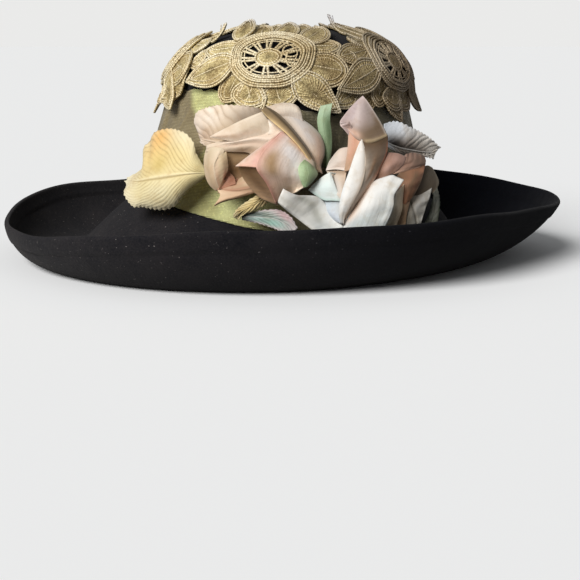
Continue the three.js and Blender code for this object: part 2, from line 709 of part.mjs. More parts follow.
const hat = new THREE.Group();

function add(name, manifold, look) {
  const mesh = new THREE.Mesh(geometryOf(manifold), look);
  mesh.name = name;
  hat.add(mesh);
}

add("felt_hood", feltHood(), material(0x15141a, 0.95));
add("cloth_band", clothBand(), material(0x8f8a4c, 0.45, 0.4));
add("lace_trim", laceTrim(), material(0xa58f5c, 0.55, 0.35));
add("rose_left", roseLeft, material(0xdcb9a2, 0.7));
add("rose_right", roseRight, material(0xd9d3cc, 0.7));
for (const [name, r] of Object.entries(LEAVES)) {
  const leaf = patchPlate(r, 4, PETAL).subtract(envelope).subtract(taken);
  taken = taken.add(patchPlate(r, 4, fat, 0.02));
  add(name, largest(leaf), material(r.color, 0.7));
}

export default hat;
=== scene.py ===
"""A wool felt hat with a rolled brim, a metallic cloth band, gold guipure lace and
two silk roses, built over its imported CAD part. Lengths are in millimetres up to the
moment a mesh is made, and angles in degrees: 0 is +X and 270 the front of the hat."""

import math

import bpy
import numpy as np
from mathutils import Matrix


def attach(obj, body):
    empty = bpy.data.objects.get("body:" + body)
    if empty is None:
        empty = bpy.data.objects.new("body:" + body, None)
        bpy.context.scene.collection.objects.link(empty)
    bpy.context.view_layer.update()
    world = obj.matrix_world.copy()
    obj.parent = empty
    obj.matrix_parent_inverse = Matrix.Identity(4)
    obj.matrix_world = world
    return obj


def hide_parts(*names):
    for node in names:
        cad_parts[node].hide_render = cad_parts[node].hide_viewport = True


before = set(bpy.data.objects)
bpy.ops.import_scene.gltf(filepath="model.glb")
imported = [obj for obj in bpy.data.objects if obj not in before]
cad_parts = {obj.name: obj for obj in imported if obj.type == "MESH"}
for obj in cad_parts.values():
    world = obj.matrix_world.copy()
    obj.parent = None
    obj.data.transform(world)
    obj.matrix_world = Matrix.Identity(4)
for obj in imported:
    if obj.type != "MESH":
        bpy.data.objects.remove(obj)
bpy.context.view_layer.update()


# The felt hood. Crown and brim are one piece of wool felt, blocked on a wooden form, about 2 mm thick.
# The rim is turned over by 9 mm and stitched, so it is thicker and a fine groove runs round below it.
FELT = 2.2
CROWN_TOP, CROWN_SHOULDER, CROWN_LEAN = 146, 106, 5
# Half widths of the crown to the side and to the front, at its shoulder and at its foot.
SHOULDER_OVAL, FOOT_OVAL = (75.5, 89), (88, 103)
# The power of the superellipse that rounds the crown's top,
# and where its straight wall ends above the foot.
CROWN_ROUND, WALL_END = 2.9, 9
# How far outside and below the foot the bend into the brim ends, and the width of the flat ring.
BEND_OUT, BEND_DOWN, FLAT_RING = 6, 2, 10
# How far the hem is turned in, what it adds to each side, and the groove that its stitches press.
HEM_DEEP, HEM_THICK, GROOVE_DEEP = 9.1, 0.62, 0.3
# The crown leans from this height up.
LEAN_FROM = 60
DEG = math.pi / 180

# foot: height where crown and brim meet. gutter: radius of the ring on which the hat stands. rim
# and lift: radius and height of the turned-up edge. belly: how far the rolled side swells out.
BRIM = np.array(
    [
        (0, 42, 133, 181.5, 36, 0.38),
        (30, 40, 137, 180, 40, 0.5),
        (60, 36, 138, 176, 43, 0.6),
        (90, 34, 140, 175, 43, 0.6),
        (120, 36, 148, 183, 36, 0.6),
        (150, 41, 156, 190, 34, 0.6),
        (180, 44, 154, 181.5, 26, 0.75),
        (210, 43, 152, 177.5, 23.5, 0.7),
        (240, 36, 147, 179, 33, 0.7),
        (270, 28, 136, 175, 38, 0.7),
        (300, 32, 121, 173, 40, 0.6),
        (330, 39, 120, 166, 38, 0.5),
    ],
    dtype=[(name, float) for name in ("at", "foot", "gutter", "rim", "lift", "belly")],
)


def catmull_rom(knots, t):
    """The smooth curve between the middle two of four knots, from t = 0 to t = 1."""
    a, b, c, d = knots
    return 0.5 * (2 * b + (c - a) * t + (2 * a - 5 * b + 4 * c - d) * t**2 + (3 * b - a - 3 * c + d) * t**3)


def around(column, angle):
    """A column of the brim table in any direction, by a closed Catmull-Rom curve through its rows."""
    values = BRIM[column]
    place = (np.asarray(angle, float) % 360) / (360 / len(values))
    i = np.floor(place).astype(int)
    return catmull_rom([values[(i + k) % len(values)] for k in (-1, 0, 1, 2)], place - i)


def oval(half_widths, angle):
    """Radius in one direction of an oval with half widths to the side and to the front."""
    side, front = half_widths
    return 1 / np.hypot(np.cos(angle * DEG) / side, np.sin(angle * DEG) / front)


def smooth(x, low, high):
    """0 below low, 1 above high, with an even curve between."""
    t = np.clip((x - low) / (high - low), 0, 1)
    return t * t * (3 - 2 * t)


def hump(x, middle, wide):
    """1 at the middle and falling evenly to both sides, as a bell curve does."""
    return np.exp(-(((x - middle) / wide) ** 2))


def bezier(points, t):
    """Cubic curves, one for each direction, through radius and height pairs."""
    s = 1 - t
    weights = (s**3, 3 * s * s * t, 3 * s * t * t, t**3)
    wide = (len(points[0][0]),)
    return [
        sum(w[None, :] * np.broadcast_to(p[k], wide)[:, None] for w, p in zip(weights, points))
        for k in (0, 1)
    ]


def crown_tip(shoulder, turn):
    """The rounded top of the crown, a superellipse: its radius and height at
    each turn from straight up to level, over a shoulder with those radii."""
    radius = shoulder[:, None] * np.sin(turn) ** (2 / CROWN_ROUND)
    height = CROWN_SHOULDER + (CROWN_TOP - CROWN_SHOULDER) * np.cos(turn) ** (2 / CROWN_ROUND)
    return radius, height + 0 * radius


def foot_bend(foot, height, t):
    """The bend from the crown's wall into the brim, from WALL_END above the foot to BEND_OUT outside."""
    points = [(foot, height + WALL_END), (foot + 1.2, height + 3), (foot + 3, height - 0.5)]
    return bezier(points + [(foot + BEND_OUT, height - BEND_DOWN)], t)


def half_section(angle):
    """The middle of the felt in each direction, as radius and height: from the middle of the tip over the
    shoulder, down the side of the crown, round into the brim, along the flat ring and up to the rim."""
    shoulder, foot = oval(SHOULDER_OVAL, angle), oval(FOOT_OVAL, angle)
    height, inner = around("foot", angle), around("gutter", angle) - FLAT_RING / 2
    outer = inner + FLAT_RING
    rim, lift, belly = (around(name, angle) for name in ("rim", "lift", "belly"))
    floor = np.full_like(angle, FELT / 2)
    wide, tall = rim - outer, lift - floor
    wall_ends = ((shoulder, foot), (0 * foot + CROWN_SHOULDER, height + WALL_END))
    down = np.linspace(0, 1, 17)[1:]
    parts = [
        crown_tip(shoulder, np.linspace(0.02, 1, 44) ** 1.3 * math.pi / 2),
        [a[:, None] + (b - a)[:, None] * down for a, b in wall_ends],
        foot_bend(foot, height, np.linspace(0, 1, 9)[1:]),
    ]
    slope = [
        (foot + BEND_OUT, height - BEND_DOWN),
        (foot + BEND_OUT + (inner - foot) * 0.4, height - BEND_DOWN - (height - floor) * 0.35),
        (inner - (inner - foot) * 0.25, floor),
        (inner, floor),
    ]
    ring = [(inner, floor), (inner + 3, floor), (outer - 3, floor), (outer, floor)]
    roll = [
        (outer, floor),
        (outer + wide * (0.33 + 0.22 * belly), floor + tall * 0.33 * (1 - belly)),
        (outer + wide * (0.67 + 0.33 * belly), floor + tall * (0.67 - 0.32 * belly)),
        (rim, lift),
    ]
    for points, count in ((slope, 22), (ring, 4), (roll, 34)):
        parts.append(bezier(points, np.linspace(0, 1, count)[1:]))
    return np.concatenate([p[0] for p in parts], 1), np.concatenate([p[1] for p in parts], 1)


def section_normals(radius, height):
    """Unit normals of half sections: out of the crown and up from the brim."""
    dr, dz = np.gradient(radius, axis=1), np.gradient(height, axis=1)
    flat = np.abs(height - FELT / 2) < 1e-6
    dz = np.where(flat, 0, dz)
    length = np.hypot(dr, dz)
    return -dz / length, dr / length


def place(angle, radius, height):
    """Points of the hat from direction, radius and height. The crown leans to +X as it rises."""
    shift = CROWN_LEAN * np.clip((height - LEAN_FROM) / (CROWN_TOP - LEAN_FROM), 0, 1)
    x, y = radius * np.cos(angle * DEG) + shift, radius * np.sin(angle * DEG)
    return np.stack([x, y, height + 0 * radius], -1)


def grid_faces(rows, columns, ring_rows=False, ring_columns=False):
    """Four-sided faces of a grid of points stored row by
    row; a ring joins its last row or column to its first."""
    i = np.arange(rows if ring_rows else rows - 1)[:, None]
    j = np.arange(columns if ring_columns else columns - 1)[None, :]
    k, m = (i + 1) % rows, (j + 1) % columns
    corners = [i * columns + j, k * columns + j, k * columns + m, i * columns + m]
    return np.stack(corners, -1).reshape(-1, 4)


def add_piece(name, points, faces, slot, nodes=(), **attributes):
    """A mesh of the hat's one body, from points in millimetres and arrays of faces with three or four
    corners. The attributes are three numbers a point: tone is a colour and any other one a vector."""
    points = np.asarray(points, float).reshape(-1, 3)
    faces = [faces] if isinstance(faces, np.ndarray) else faces
    corners = np.concatenate([f.ravel() for f in faces])
    sizes = np.concatenate([np.full(len(f), f.shape[1]) for f in faces])
    mesh = bpy.data.meshes.new(name)
    mesh.vertices.add(len(points))
    mesh.vertices.foreach_set("co", (points * 0.001).ravel())
    mesh.loops.add(len(corners))
    mesh.loops.foreach_set("vertex_index", corners)
    mesh.polygons.add(len(sizes))
    mesh.polygons.foreach_set("loop_start", np.concatenate([[0], np.cumsum(sizes)[:-1]]))
    mesh.update(calc_edges=True)
    mesh.shade_smooth()
    for key, values in attributes.items():
        values = np.asarray(values, float).reshape(len(points), 3)
        kind, field = "FLOAT_VECTOR", "vector"
        if key == "tone":
            values = np.concatenate([values, np.ones((len(points), 1))], 1)
            kind, field = "FLOAT_COLOR", "color"
        mesh.attributes.new(key, kind, "POINT").data.foreach_set(field, values.ravel())
    piece = bpy.data.objects.new(name, mesh)
    bpy.context.collection.objects.link(piece)
    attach(piece, "root")
    if nodes:
        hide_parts(*nodes)
    return piece


angle = np.linspace(0, 360, 301)[:-1]
radius, height = half_section(angle)
out_r, out_z = section_normals(radius, height)
step = np.hypot(np.diff(radius, axis=1), np.diff(height, axis=1))
from_rim = np.cumsum(step[:, ::-1], axis=1)[:, ::-1]
from_rim = np.concatenate([from_rim, np.zeros((len(angle), 1))], 1)
hem = HEM_THICK * (1 - smooth(from_rim, HEM_DEEP - 0.5, HEM_DEEP + 0.5))
groove = GROOVE_DEEP * hump(from_rim, HEM_DEEP + 0.8, 0.55)
half = FELT / 2 + hem - groove
# The rim waves slowly up and down as it goes round.
waves = 0.55 * np.sin(7 * angle * DEG + 1) + 0.35 * np.sin(13 * angle * DEG)
height = height + (1 - smooth(from_rim, 0, 30)) * waves[:, None] * smooth(height, 6, 20)
end_r, end_z, end_half = radius[:, -1:], height[:, -1:], half[:, -1:]
end_out_r, end_out_z = out_r[:, -1:], out_z[:, -1:]
turn = np.linspace(0, math.pi, 8)[1:-1]
round_r = end_r + end_half * (end_out_r * np.cos(turn) + end_out_z * np.sin(turn))
round_z = end_z + end_half * (end_out_z * np.cos(turn) - end_out_r * np.sin(turn))
loop_r = np.concatenate([radius + out_r * half, round_r, (radius - out_r * half)[:, ::-1]], 1)
loop_z = np.concatenate([height + out_z * half, round_z, (height - out_z * half)[:, ::-1]], 1)
felt_points = place(angle[:, None], loop_r, np.maximum(loop_z, 0))
count = felt_points.shape[1]
first = np.arange(len(angle)) * count
after = np.roll(first, -1)
top_pole, inner_pole = (np.full_like(first, len(angle) * count + k) for k in (0, 1))
caps = [
    np.stack([top_pole, first, after], -1),
    np.stack([inner_pole, after + count - 1, first + count - 1], -1),
]
poles = [[CROWN_LEAN, 0, CROWN_TOP + FELT / 2], [CROWN_LEAN, 0, CROWN_TOP - FELT / 2]]
felt = add_piece(
    "felt_hood_fine",
    np.concatenate([felt_points.reshape(-1, 3), poles]),
    [grid_faces(len(angle), count, ring_rows=True)[:, ::-1], np.concatenate(caps)],
    "felt",
    ["felt_hood"],
)


def new_material(name, roughness, **inputs):
    """A material with one Principled shader, its node tree and that shader."""
    material = bpy.data.materials.new(name)
    material.use_nodes = True
    tree = material.node_tree
    shader = tree.nodes["Principled BSDF"]
    for key, value in dict(Roughness=roughness, **inputs).items():
        shader.inputs[key.replace("_", " ")].default_value = value
    return material, tree, shader


def node(tree, kind, settings=(), **inputs):
    """A node of that kind. An input is named, or numbered as i0, i1 and
    so on; one given as a socket is linked, and any other is set."""
    made = tree.nodes.new("ShaderNode" + kind)
    for key, value in dict(settings).items():
        setattr(made, key, value)
    for key, value in inputs.items():
        numbered = key[0] == "i" and key[1:].isdigit()
        socket = made.inputs[int(key[1:]) if numbered else key.replace("_", " ")]
        if isinstance(value, bpy.types.NodeSocket):
            tree.links.new(value, socket)
        else:
            socket.default_value = value
    return made


def mixed(tree, factor, first, second, blend="MIX"):
    """Two colours mixed; each may be a socket or a colour."""
    colours = ((*c, 1) if isinstance(c, tuple) else c for c in (first, second))
    settings = {"data_type": "RGBA", "blend_type": blend}
    return node(tree, "Mix", settings, **dict(zip(("i0", "i6", "i7"), (factor, *colours)))).outputs[2]


def tinted(tree, colour, tint):
    """A colour multiplied by another one."""
    return mixed(tree, 1.0, colour, tint, "MULTIPLY")


def remap(tree, value, low, high, to_low=0.0, to_high=1.0):
    """A value's range moved onto another, held at its ends."""
    ranges = {"i1": low, "i2": high, "i3": to_low, "i4": to_high}
    return node(tree, "MapRange", {"clamp": True}, i0=value, **ranges).outputs[0]


def noise(tree, spot, scale, detail, **inputs):
    """Cloudy noise, from 0 to 1."""
    return node(tree, "TexNoise", Vector=spot, Scale=scale, Detail=detail, **inputs).outputs["Fac"]


def bump(tree, height, strength, distance, **below):
    """A normal raised by a height; Normal= lays it over another one."""
    return node(tree, "Bump", Height=height, Strength=strength, Distance=distance, **below).outputs[0]


def own_place(tree):
    """The point on the piece, in metres."""
    return node(tree, "TexCoord").outputs["Object"]


def attribute(tree, name, output="Vector"):
    """What a piece says of each of its points."""
    return node(tree, "Attribute", {"attribute_name": name}).outputs[output]


def dress(tree, shader, colour, normal):
    """The shader's colour and normal, linked."""
    tree.links.new(colour, shader.inputs["Base Color"])
    tree.links.new(normal, shader.inputs["Normal"])


def effect(name, inputs, outputs):
    """A node group for an effect that several materials share, from its inputs'
    names and starting values and its outputs' names. A number makes a value
    socket, Place a vector one and any other triple a colour one. Gives the group,
    its inputs as seen from inside, and the sockets that its results go to."""
    group = bpy.data.node_groups.new(name, "ShaderNodeTree")
    for key, value in inputs.items():
        kind = "Float" if np.isscalar(value) else "Vector" if key == "Place" else "Color"
        socket = group.interface.new_socket(key, in_out="INPUT", socket_type="NodeSocket" + kind)
        socket.default_value = (*value, 1) if kind == "Color" else value
    for key in outputs:
        kind = "Color" if key == "Color" else "Float"
        group.interface.new_socket(key, in_out="OUTPUT", socket_type="NodeSocket" + kind)
    return group, group.nodes.new("NodeGroupInput").outputs, group.nodes.new("NodeGroupOutput").inputs


def use(tree, group, **inputs):
    """One copy of a shared effect in a material; colours are given as triples."""
    filled = {key: (*value, 1) if isinstance(value, tuple) else value for key, value in inputs.items()}
    return node(tree, "Group", {"node_tree": group}, **filled).outputs


# Mottling: cloudy patches of two colours.
mottled, given, made = effect(
    "mottled",
    {"Place": (0, 0, 0), "Scale": 40.0, "Low": 0.35, "High": 0.65, "First": (0, 0, 0), "Second": (1, 1, 1)},
    ("Color", "Cloud"),
)
cloud = noise(mottled, given["Place"], given["Scale"], 5.0, Roughness=0.6)
patches = remap(mottled, cloud, given["Low"], given["High"])
mottled.links.new(mixed(mottled, patches, given["First"], given["Second"]), made["Color"])
mottled.links.new(cloud, made["Cloud"])

BLACK, CHARCOAL = (0.0032, 0.0036, 0.005), (0.0078, 0.0077, 0.0088)
FIBRE, LINT = (0.017, 0.0165, 0.017), (0.16, 0.155, 0.15)
# Tints of painted light for the felt's -X side and of painted shade for its +X side.
PAINTED_LIGHT_TINT, PAINTED_SHADE_TINT = (2.9, 2.7, 2.6), (0.1, 0.15, 0.35)
felt_look, tree, shader = new_material(
    "wool_felt", 0.93, Sheen_Weight=0.04, Sheen_Roughness=0.5, Specular_IOR_Level=0.06
)
spot = own_place(tree)
clouds = use(tree, mottled, Place=spot, Scale=38.0, Low=0.35, High=0.7, First=BLACK, Second=CHARCOAL)
fibre = noise(tree, spot, 900.0, 4.0, Roughness=0.7)
lint = noise(tree, spot, 820.0, 2.0)
base = mixed(tree, remap(tree, fibre, 0.35, 0.75, 0.0, 0.5), clouds["Color"], FIBRE)
base = mixed(tree, remap(tree, lint, 0.71, 0.76, 0.0, 0.5), base, LINT)
# Painted light and shade: the felt is lightened towards -X, the side the light comes from,
# and darkened to deep black towards +X, the side in shade.
across = remap(tree, node(tree, "SeparateXYZ", Vector=spot).outputs["X"], -0.17, 0.12)
base = tinted(tree, base, mixed(tree, across, PAINTED_LIGHT_TINT, PAINTED_SHADE_TINT))
nap = bump(tree, fibre, 0.5, 0.0006)
dress(tree, shader, base, bump(tree, clouds["Cloud"], 0.35, 0.003, Normal=nap))
felt.data.materials.append(felt_look)


# The band. A sleeve of olive-gold metallic cloth is wrapped round the
# side of the crown and pulled tight, so it lies close to the felt with a
# few slanting folds. Its upper edge is cut raw and frays at the right.

# The folds. at: direction. up: height. lean: degrees that a fold
# moves round for each millimetre of height. wide, high: its size.
FOLDS = np.array(
    [
        (196, 70, 0.30, 2.2, 1.6),
        (203, 78, 0.22, 1.8, 1.3),
        (212, 66, -0.28, 2.4, 1.5),
        (221, 82, 0.35, 1.6, 1.0),
        (232, 70, 0.45, 2.0, 1.1),
        (245, 60, -0.25, 2.6, 0.9),
        (292, 96, 0.12, 1.1, 1.2),
        (297, 92, -0.2, 0.9, 1.4),
        (302, 96, 0.25, 1.2, 1.0),
        (318, 80, 0.3, 2.0, 1.1),
        (338, 74, -0.3, 2.2, 1.2),
        (352, 80, 0.26, 2.0, 1.0),
        (20, 72, 0.2, 2.4, 1.1),
        (48, 76, -0.24, 2.0, 1.0),
        (84, 70, 0.28, 2.6, 1.2),
        (120, 78, -0.2, 2.2, 1.0),
        (150, 72, 0.3, 2.4, 1.2),
        (174, 66, -0.22, 2.0, 1.3),
    ],
    dtype=[(name, float) for name in ("at", "up", "lean", "wide", "high")],
)
# The height of the cut edge, the bump it makes at the left and the dip behind the roses.
CUT_EDGE, LEFT_BUMP, ROSE_DIP = 104.5, 8, 8.5
# How far the outside of the cloth lies off the middle of the felt, and how thick the cloth is.
BAND_OFF, BAND_THICK = 1.75, 0.35
# The share of the cloth that is on the wall. The rest follows the curve
# from the crown into the brim, as far as SKIRT: 0 is none of it and 1 all.
ON_WALL, SKIRT = 0.86, 0.62
# How far above and below its middle a fold fades.
FOLD_TALL = 26
angle = np.linspace(0, 360, 481)[:-1]
drop = np.linspace(0, 1, 44)
shoulder, foot, foot_height = oval(SHOULDER_OVAL, angle), oval(FOOT_OVAL, angle), around("foot", angle)
wall_end = foot_height + WALL_END
raw = 0.6 * np.sin(9 * angle * DEG) + 0.5 * np.sin(23 * angle * DEG + 1)
raw += 2.2 * hump(angle, 300, 14) * np.sin(61 * angle * DEG)
top = CUT_EDGE + LEFT_BUMP * hump(angle, 220, 34) - ROSE_DIP * hump(angle, 288, 17) + raw
band_z = top[:, None] - (top - wall_end)[:, None] * np.minimum(drop / ON_WALL, 1)[None, :]
lower = (CROWN_SHOULDER - band_z) / (CROWN_SHOULDER - wall_end)[:, None]
band_r = shoulder[:, None] + (foot - shoulder)[:, None] * lower
turned = foot_bend(foot, foot_height, np.clip((drop - ON_WALL) / (1 - ON_WALL), 0, 1) * SKIRT)
band_r, band_z = (np.where(drop > ON_WALL, low, high) for low, high in zip(turned, (band_r, band_z)))
out_r, out_z = section_normals(band_r, band_z)
folds = np.zeros_like(band_r)
for fold in FOLDS:
    across = (angle[:, None] - fold["at"] + 180) % 360 - 180 - fold["lean"] * (band_z - fold["up"])
    folds += fold["high"] * hump(across, 0, fold["wide"]) * hump(band_z, fold["up"], FOLD_TALL)
slack = 0.35 + 0.3 * np.sin(11 * angle * DEG + 2)[:, None] * np.sin(band_z / 9)
slack += 0.2 * np.sin(29 * angle * DEG)[:, None]
welt = 0.5 * hump(drop, 0.965, 0.02)[None, :]
lie = BAND_OFF + np.maximum(slack, 0) * 0.8 + folds * 0.9 + welt
sides = (lie, lie - BAND_THICK)
outside, inside = (place(angle[:, None], band_r + out_r * d, band_z + out_z * d) for d in sides)
along = np.hypot(*np.diff(place(angle, foot, 60), axis=0)[:, :2].T)
along = np.concatenate([[0], np.cumsum(along)])
cloth = np.stack([np.broadcast_to(along[:, None], band_z.shape), band_z, folds], -1)


def dyed(shade, colour, amount):
    """Colours drawn towards one colour, by an amount from 0 to 1 at each point."""
    return shade + (np.asarray(colour) - shade) * amount[..., None]


# The cloth's colour: dull olive, with painted shade on the left flank and between the roses, and a
# painted sheen, bright, at the front left, where its metal threads would catch the light. The border of
# the painted sheen bends round the front half way up.
OLIVE, FLANK_PAINTED_SHADE, PAINTED_SHEEN, ROSE_GAP_PAINTED_SHADE = (0.22, 0.19, 0.1), (0.36, 0.3, 0.17), (0.88, 0.93, 0.45), (0.19, 0.175, 0.11)
# The directions between which each part begins and ends, and how far the border bends.
BRIGHT_FROM, BRIGHT_TO, FLANK_FROM, FLANK_TO = (222, 227), (258, 274), (165, 190), (222, 228)
DEEP_FROM, DEEP_TO, BORDER_BENDS = (268, 282), (330, 350), 17
lean = angle[:, None] - BORDER_BENDS * hump(band_z, 80, 16)
bright = smooth(lean, *BRIGHT_FROM) * (1 - smooth(angle, *BRIGHT_TO))[:, None]
flank = smooth(lean, *FLANK_FROM) * (1 - smooth(lean, *FLANK_TO))
deep = (smooth(angle, *DEEP_FROM) * (1 - smooth(angle, *DEEP_TO)))[:, None]
shade = np.array(OLIVE) + 0 * lean[..., None]
for colour, amount in ((FLANK_PAINTED_SHADE, flank), (PAINTED_SHEEN, bright), (ROSE_GAP_PAINTED_SHADE, deep)):
    shade = dyed(shade, colour, amount)
# The painted sheen is a little weaker towards the cloth's foot, and a fold's ridge carries a
# painted highlight, lighter than what lies round it.
FOOT_DULLER, FOOT_HEIGHTS, RIDGE_PAINTED_HIGHLIGHT = 0.25, (45, 75), 0.22
shade = shade * (1 - FOOT_DULLER * bright * (1 - smooth(band_z, *FOOT_HEIGHTS)))[..., None]
shade = shade * (1 + RIDGE_PAINTED_HIGHLIGHT * np.clip(folds, -1, 1.5) / 1.5)[..., None]
band = add_piece(
    "cloth_band_fine",
    np.concatenate([outside, inside[:, ::-1]], 1),
    grid_faces(len(angle), 2 * len(drop), ring_rows=True, ring_columns=True)[:, ::-1],
    "lame",
    ["cloth_band"],
    cloth=np.concatenate([cloth, cloth[:, ::-1]], 1),
    tone=np.concatenate([shade, shade[:, ::-1]], 1),
)


def waves_along(tree, way, spot, scale, distortion, detail):
    """Stripes across one direction, from 0 to 1 and back."""
    settings = {"wave_type": "BANDS", "bands_direction": way}
    inputs = {"Vector": spot, "Scale": scale, "Distortion": distortion, "Detail": detail}
    return node(tree, "TexWave", settings, Detail_Scale=2.0, **inputs).outputs["Fac"]


def product(tree, first, second, operation="MULTIPLY"):
    """Two values multiplied, or joined by another operation."""
    return node(tree, "Math", {"operation": operation}, i0=first, i1=second).outputs[0]


# Plain weave: warp threads along one direction of the cloth
# and weft along the other; the height is 0 between them.
woven, given, made = effect("woven", {"Place": (0, 0, 0), "Threads": 1.0, "Uneven": 1.0}, ("Height",))
woven_from = (given["Place"], given["Threads"], given["Uneven"], 2.0)
warp, weft = (waves_along(woven, way, *woven_from) for way in "XY")
woven.links.new(product(woven, warp, weft), made["Height"])

WORN, BETWEEN_THREADS, PAINTED_GLINT = (0.72, 0.68, 0.62), (0.4, 0.35, 0.27), (2, 2, 1.8)
band_look, tree, shader = new_material("metallic_cloth", 0.42, Metallic=0.3, Sheen_Weight=0.15)
weave = use(tree, woven, Place=attribute(tree, "cloth"), Threads=0.36, Uneven=1.4)["Height"]
spot = own_place(tree)
worn = use(tree, mottled, Place=spot, Scale=60.0, First=(1, 1, 1), Second=WORN)
glint = noise(tree, spot, 700.0, 3.0)
base = tinted(tree, attribute(tree, "tone", "Color"), worn["Color"])
base = mixed(tree, remap(tree, weave, 0.0, 0.4, 0.6, 0.0), base, tinted(tree, base, BETWEEN_THREADS))
# Painted glints: random specks brightened as if the metal threads caught the light.
base = mixed(tree, remap(tree, glint, 0.54, 0.68, 0.0, 0.3), base, tinted(tree, base, PAINTED_GLINT))
raised = bump(tree, weave, 0.7, 0.0005)
dress(tree, shader, base, bump(tree, worn["Cloud"], 0.3, 0.002, Normal=raised))
band.data.materials.append(band_look)


# The lace. A strip of gold guipure, five roses long, is laid over the shoulder
# of the crown and its ends meet at the back. Each rose has a webbed eye inside
# corded rings, and corded petals and leaves that lap over one another.

# It is drawn flat first, u round the hat and v up over the shoulder, and then laid on the crown.
MOTIFS = 5
FRONT_ROSE, FRONT_GAP, ROSE_MIDDLE, RIGHT_DROP = 246.5, 94.5, 24.5, 3.3
# The crown's surface is sampled at every half degree from the back and at every millimetre from V_LOW up.
SEAM_AT, SAMPLES, V_LOW, V_COUNT = 90, 721, -45, 121
fine_angle = SEAM_AT + np.linspace(0, 360, SAMPLES)
edge = oval(SHOULDER_OVAL, fine_angle)
ring = np.stack([edge * np.cos(fine_angle * DEG), edge * np.sin(fine_angle * DEG)])
around_length = np.concatenate([[0], np.cumsum(np.hypot(*np.diff(ring, axis=1)))])
other_gap = (around_length[-1] - FRONT_GAP) / (MOTIFS - 1)
arc = crown_tip(edge, np.linspace(0, 1, 60) ** 1.15 * math.pi / 2)
arc_r, arc_z = (line[:, ::-1] for line in arc)
arc_v = np.cumsum(np.hypot(np.diff(arc_r), np.diff(arc_z)), axis=1)
arc_v = np.concatenate([np.zeros((SAMPLES, 1)), arc_v], 1)
v_values = V_LOW + np.arange(float(V_COUNT))
crown_r, crown_z = (
    np.stack([np.interp(np.maximum(v_values, 0), arc_v[k], line[k]) for k in range(SAMPLES)])
    for line in (arc_r, arc_z)
)
# Below the shoulder the samples go on down the straight wall. On top no band lies under
# the lace, so it is lower by NO_BAND from the second of those places on the section up.
NO_BAND, TOP_FROM = 2.0, (8, 26)
below = np.minimum(v_values, 0)[None, :]
wall_tall = CROWN_SHOULDER - around("foot", fine_angle) - WALL_END
taper = ((oval(FOOT_OVAL, fine_angle) - edge) / wall_tall)[:, None]
crown_r = crown_r - below * taper / np.hypot(1, taper)
crown_z = crown_z + below / np.hypot(1, taper)
crown_dr, crown_dz = np.gradient(crown_r, axis=1), np.gradient(crown_z, axis=1)
crown_step = np.hypot(crown_dr, crown_dz)
crown_nr, crown_nz = crown_dz / crown_step, -crown_dr / crown_step


def on_crown(flat):
    """Flat lace (u, v, w) laid on the crown: u gives the direction, v the
    place on the section, and w goes out along the section's normal, less on
    top, where no band lies under it. The grids are read by bilinear mixing."""
    u, v, w = np.moveaxis(np.asarray(flat, float), -1, 0)
    w = w - NO_BAND * smooth(v, *TOP_FROM)
    column = np.interp(u % around_length[-1], around_length, np.arange(float(SAMPLES)))
    row = np.clip(v - V_LOW, 0, V_COUNT - 1.001)
    i, j = np.minimum(column.astype(int), SAMPLES - 2), row.astype(int)
    s, t = column - i, row - j
    radius, height, out_r, out_z = [
        (1 - s) * ((1 - t) * g[i, j] + t * g[i, j + 1]) + s * ((1 - t) * g[i + 1, j] + t * g[i + 1, j + 1])
        for g in (crown_r, crown_z, crown_nr, crown_nz)
    ]
    return place(SEAM_AT + column * 360 / (SAMPLES - 1), radius + out_r * w, height + out_z * w)


# Petals and leaves about a rose. u, v: where each starts, from the rose's
# centre. towards: its direction. lift: how far its tip stands off the crown.
# blunt: 0 for a pointed tip, 1 for a round one. over: its layer above the felt.
LOBE_COLUMNS = [(name, float) for name in ("u", "v", "towards", "long", "wide", "lift", "blunt", "over")]
LOBES = np.array(
    [
        (-20, -3.5, 200, 37, 19, 1.5, 0.1, 3),
        (-20, 9, 191, 33, 17, 1.0, 0.55, 1),
        (-9, 18, 177, 25, 14, 1.5, 0.8, 0),
        (20, 10, 356, 29, 16, 1.0, 0.8, 1),
        (19, -5, 349, 29, 21, 1.5, 0.9, 2),
        (43, -6, 30, 16, 14, 1.0, 0.9, 0),
        (14, -10, 318, 37, 19, 3.5, 0.2, 3),
        (4, -14, 290, 19, 23, 2.0, 0.9, 1),
        (-7, -14, 254, 18, 22, 2.0, 0.9, 2),
        (-17, -9, 246, 21, 16, 2.5, 0.8, 0),
        (-12, -13, 287, 27, 18, 2.0, 0.3, 2),
        (-22, -13, 222, 27, 16, 1.5, 0.6, 0),
        (-11, 16, 114, 32, 24, 2.0, 0.9, 1),
        (-4, 18, 94, 33, 26, 3.0, 1.0, 0),
        (4, 18, 76, 34, 26, 3.5, 1.0, 1),
        (12, 16, 58, 36, 26, 3.5, 1.0, 0),
        (19, 12, 38, 34, 24, 2.0, 0.9, 2),
    ],
    dtype=LOBE_COLUMNS,
)
# Single leaves: three that have come loose and stand up
# from the crown's edge, and two that fill the front gap.
LOOSE_TIPS = np.array(
    [
        (-27, 12, 112, 27, 19, 5.0, 1.0, 3),
        (-62, 12, 42, 16, 6, 8.0, 0.0, 1),
        (72, 26, 118, 18, 6, 9.0, 0.0, 1),
        (60, -15, 217, 26, 17, 1.5, 0.4, 0),
        (-59, -8, 219, 36, 20, 3.0, 0.35, 2),
    ],
    dtype=LOBE_COLUMNS,
)
# How far the middle of the lowest layer lies above the felt's middle, and each layer above the last.
LACE_BASE, LAYER = 3.2, 0.9
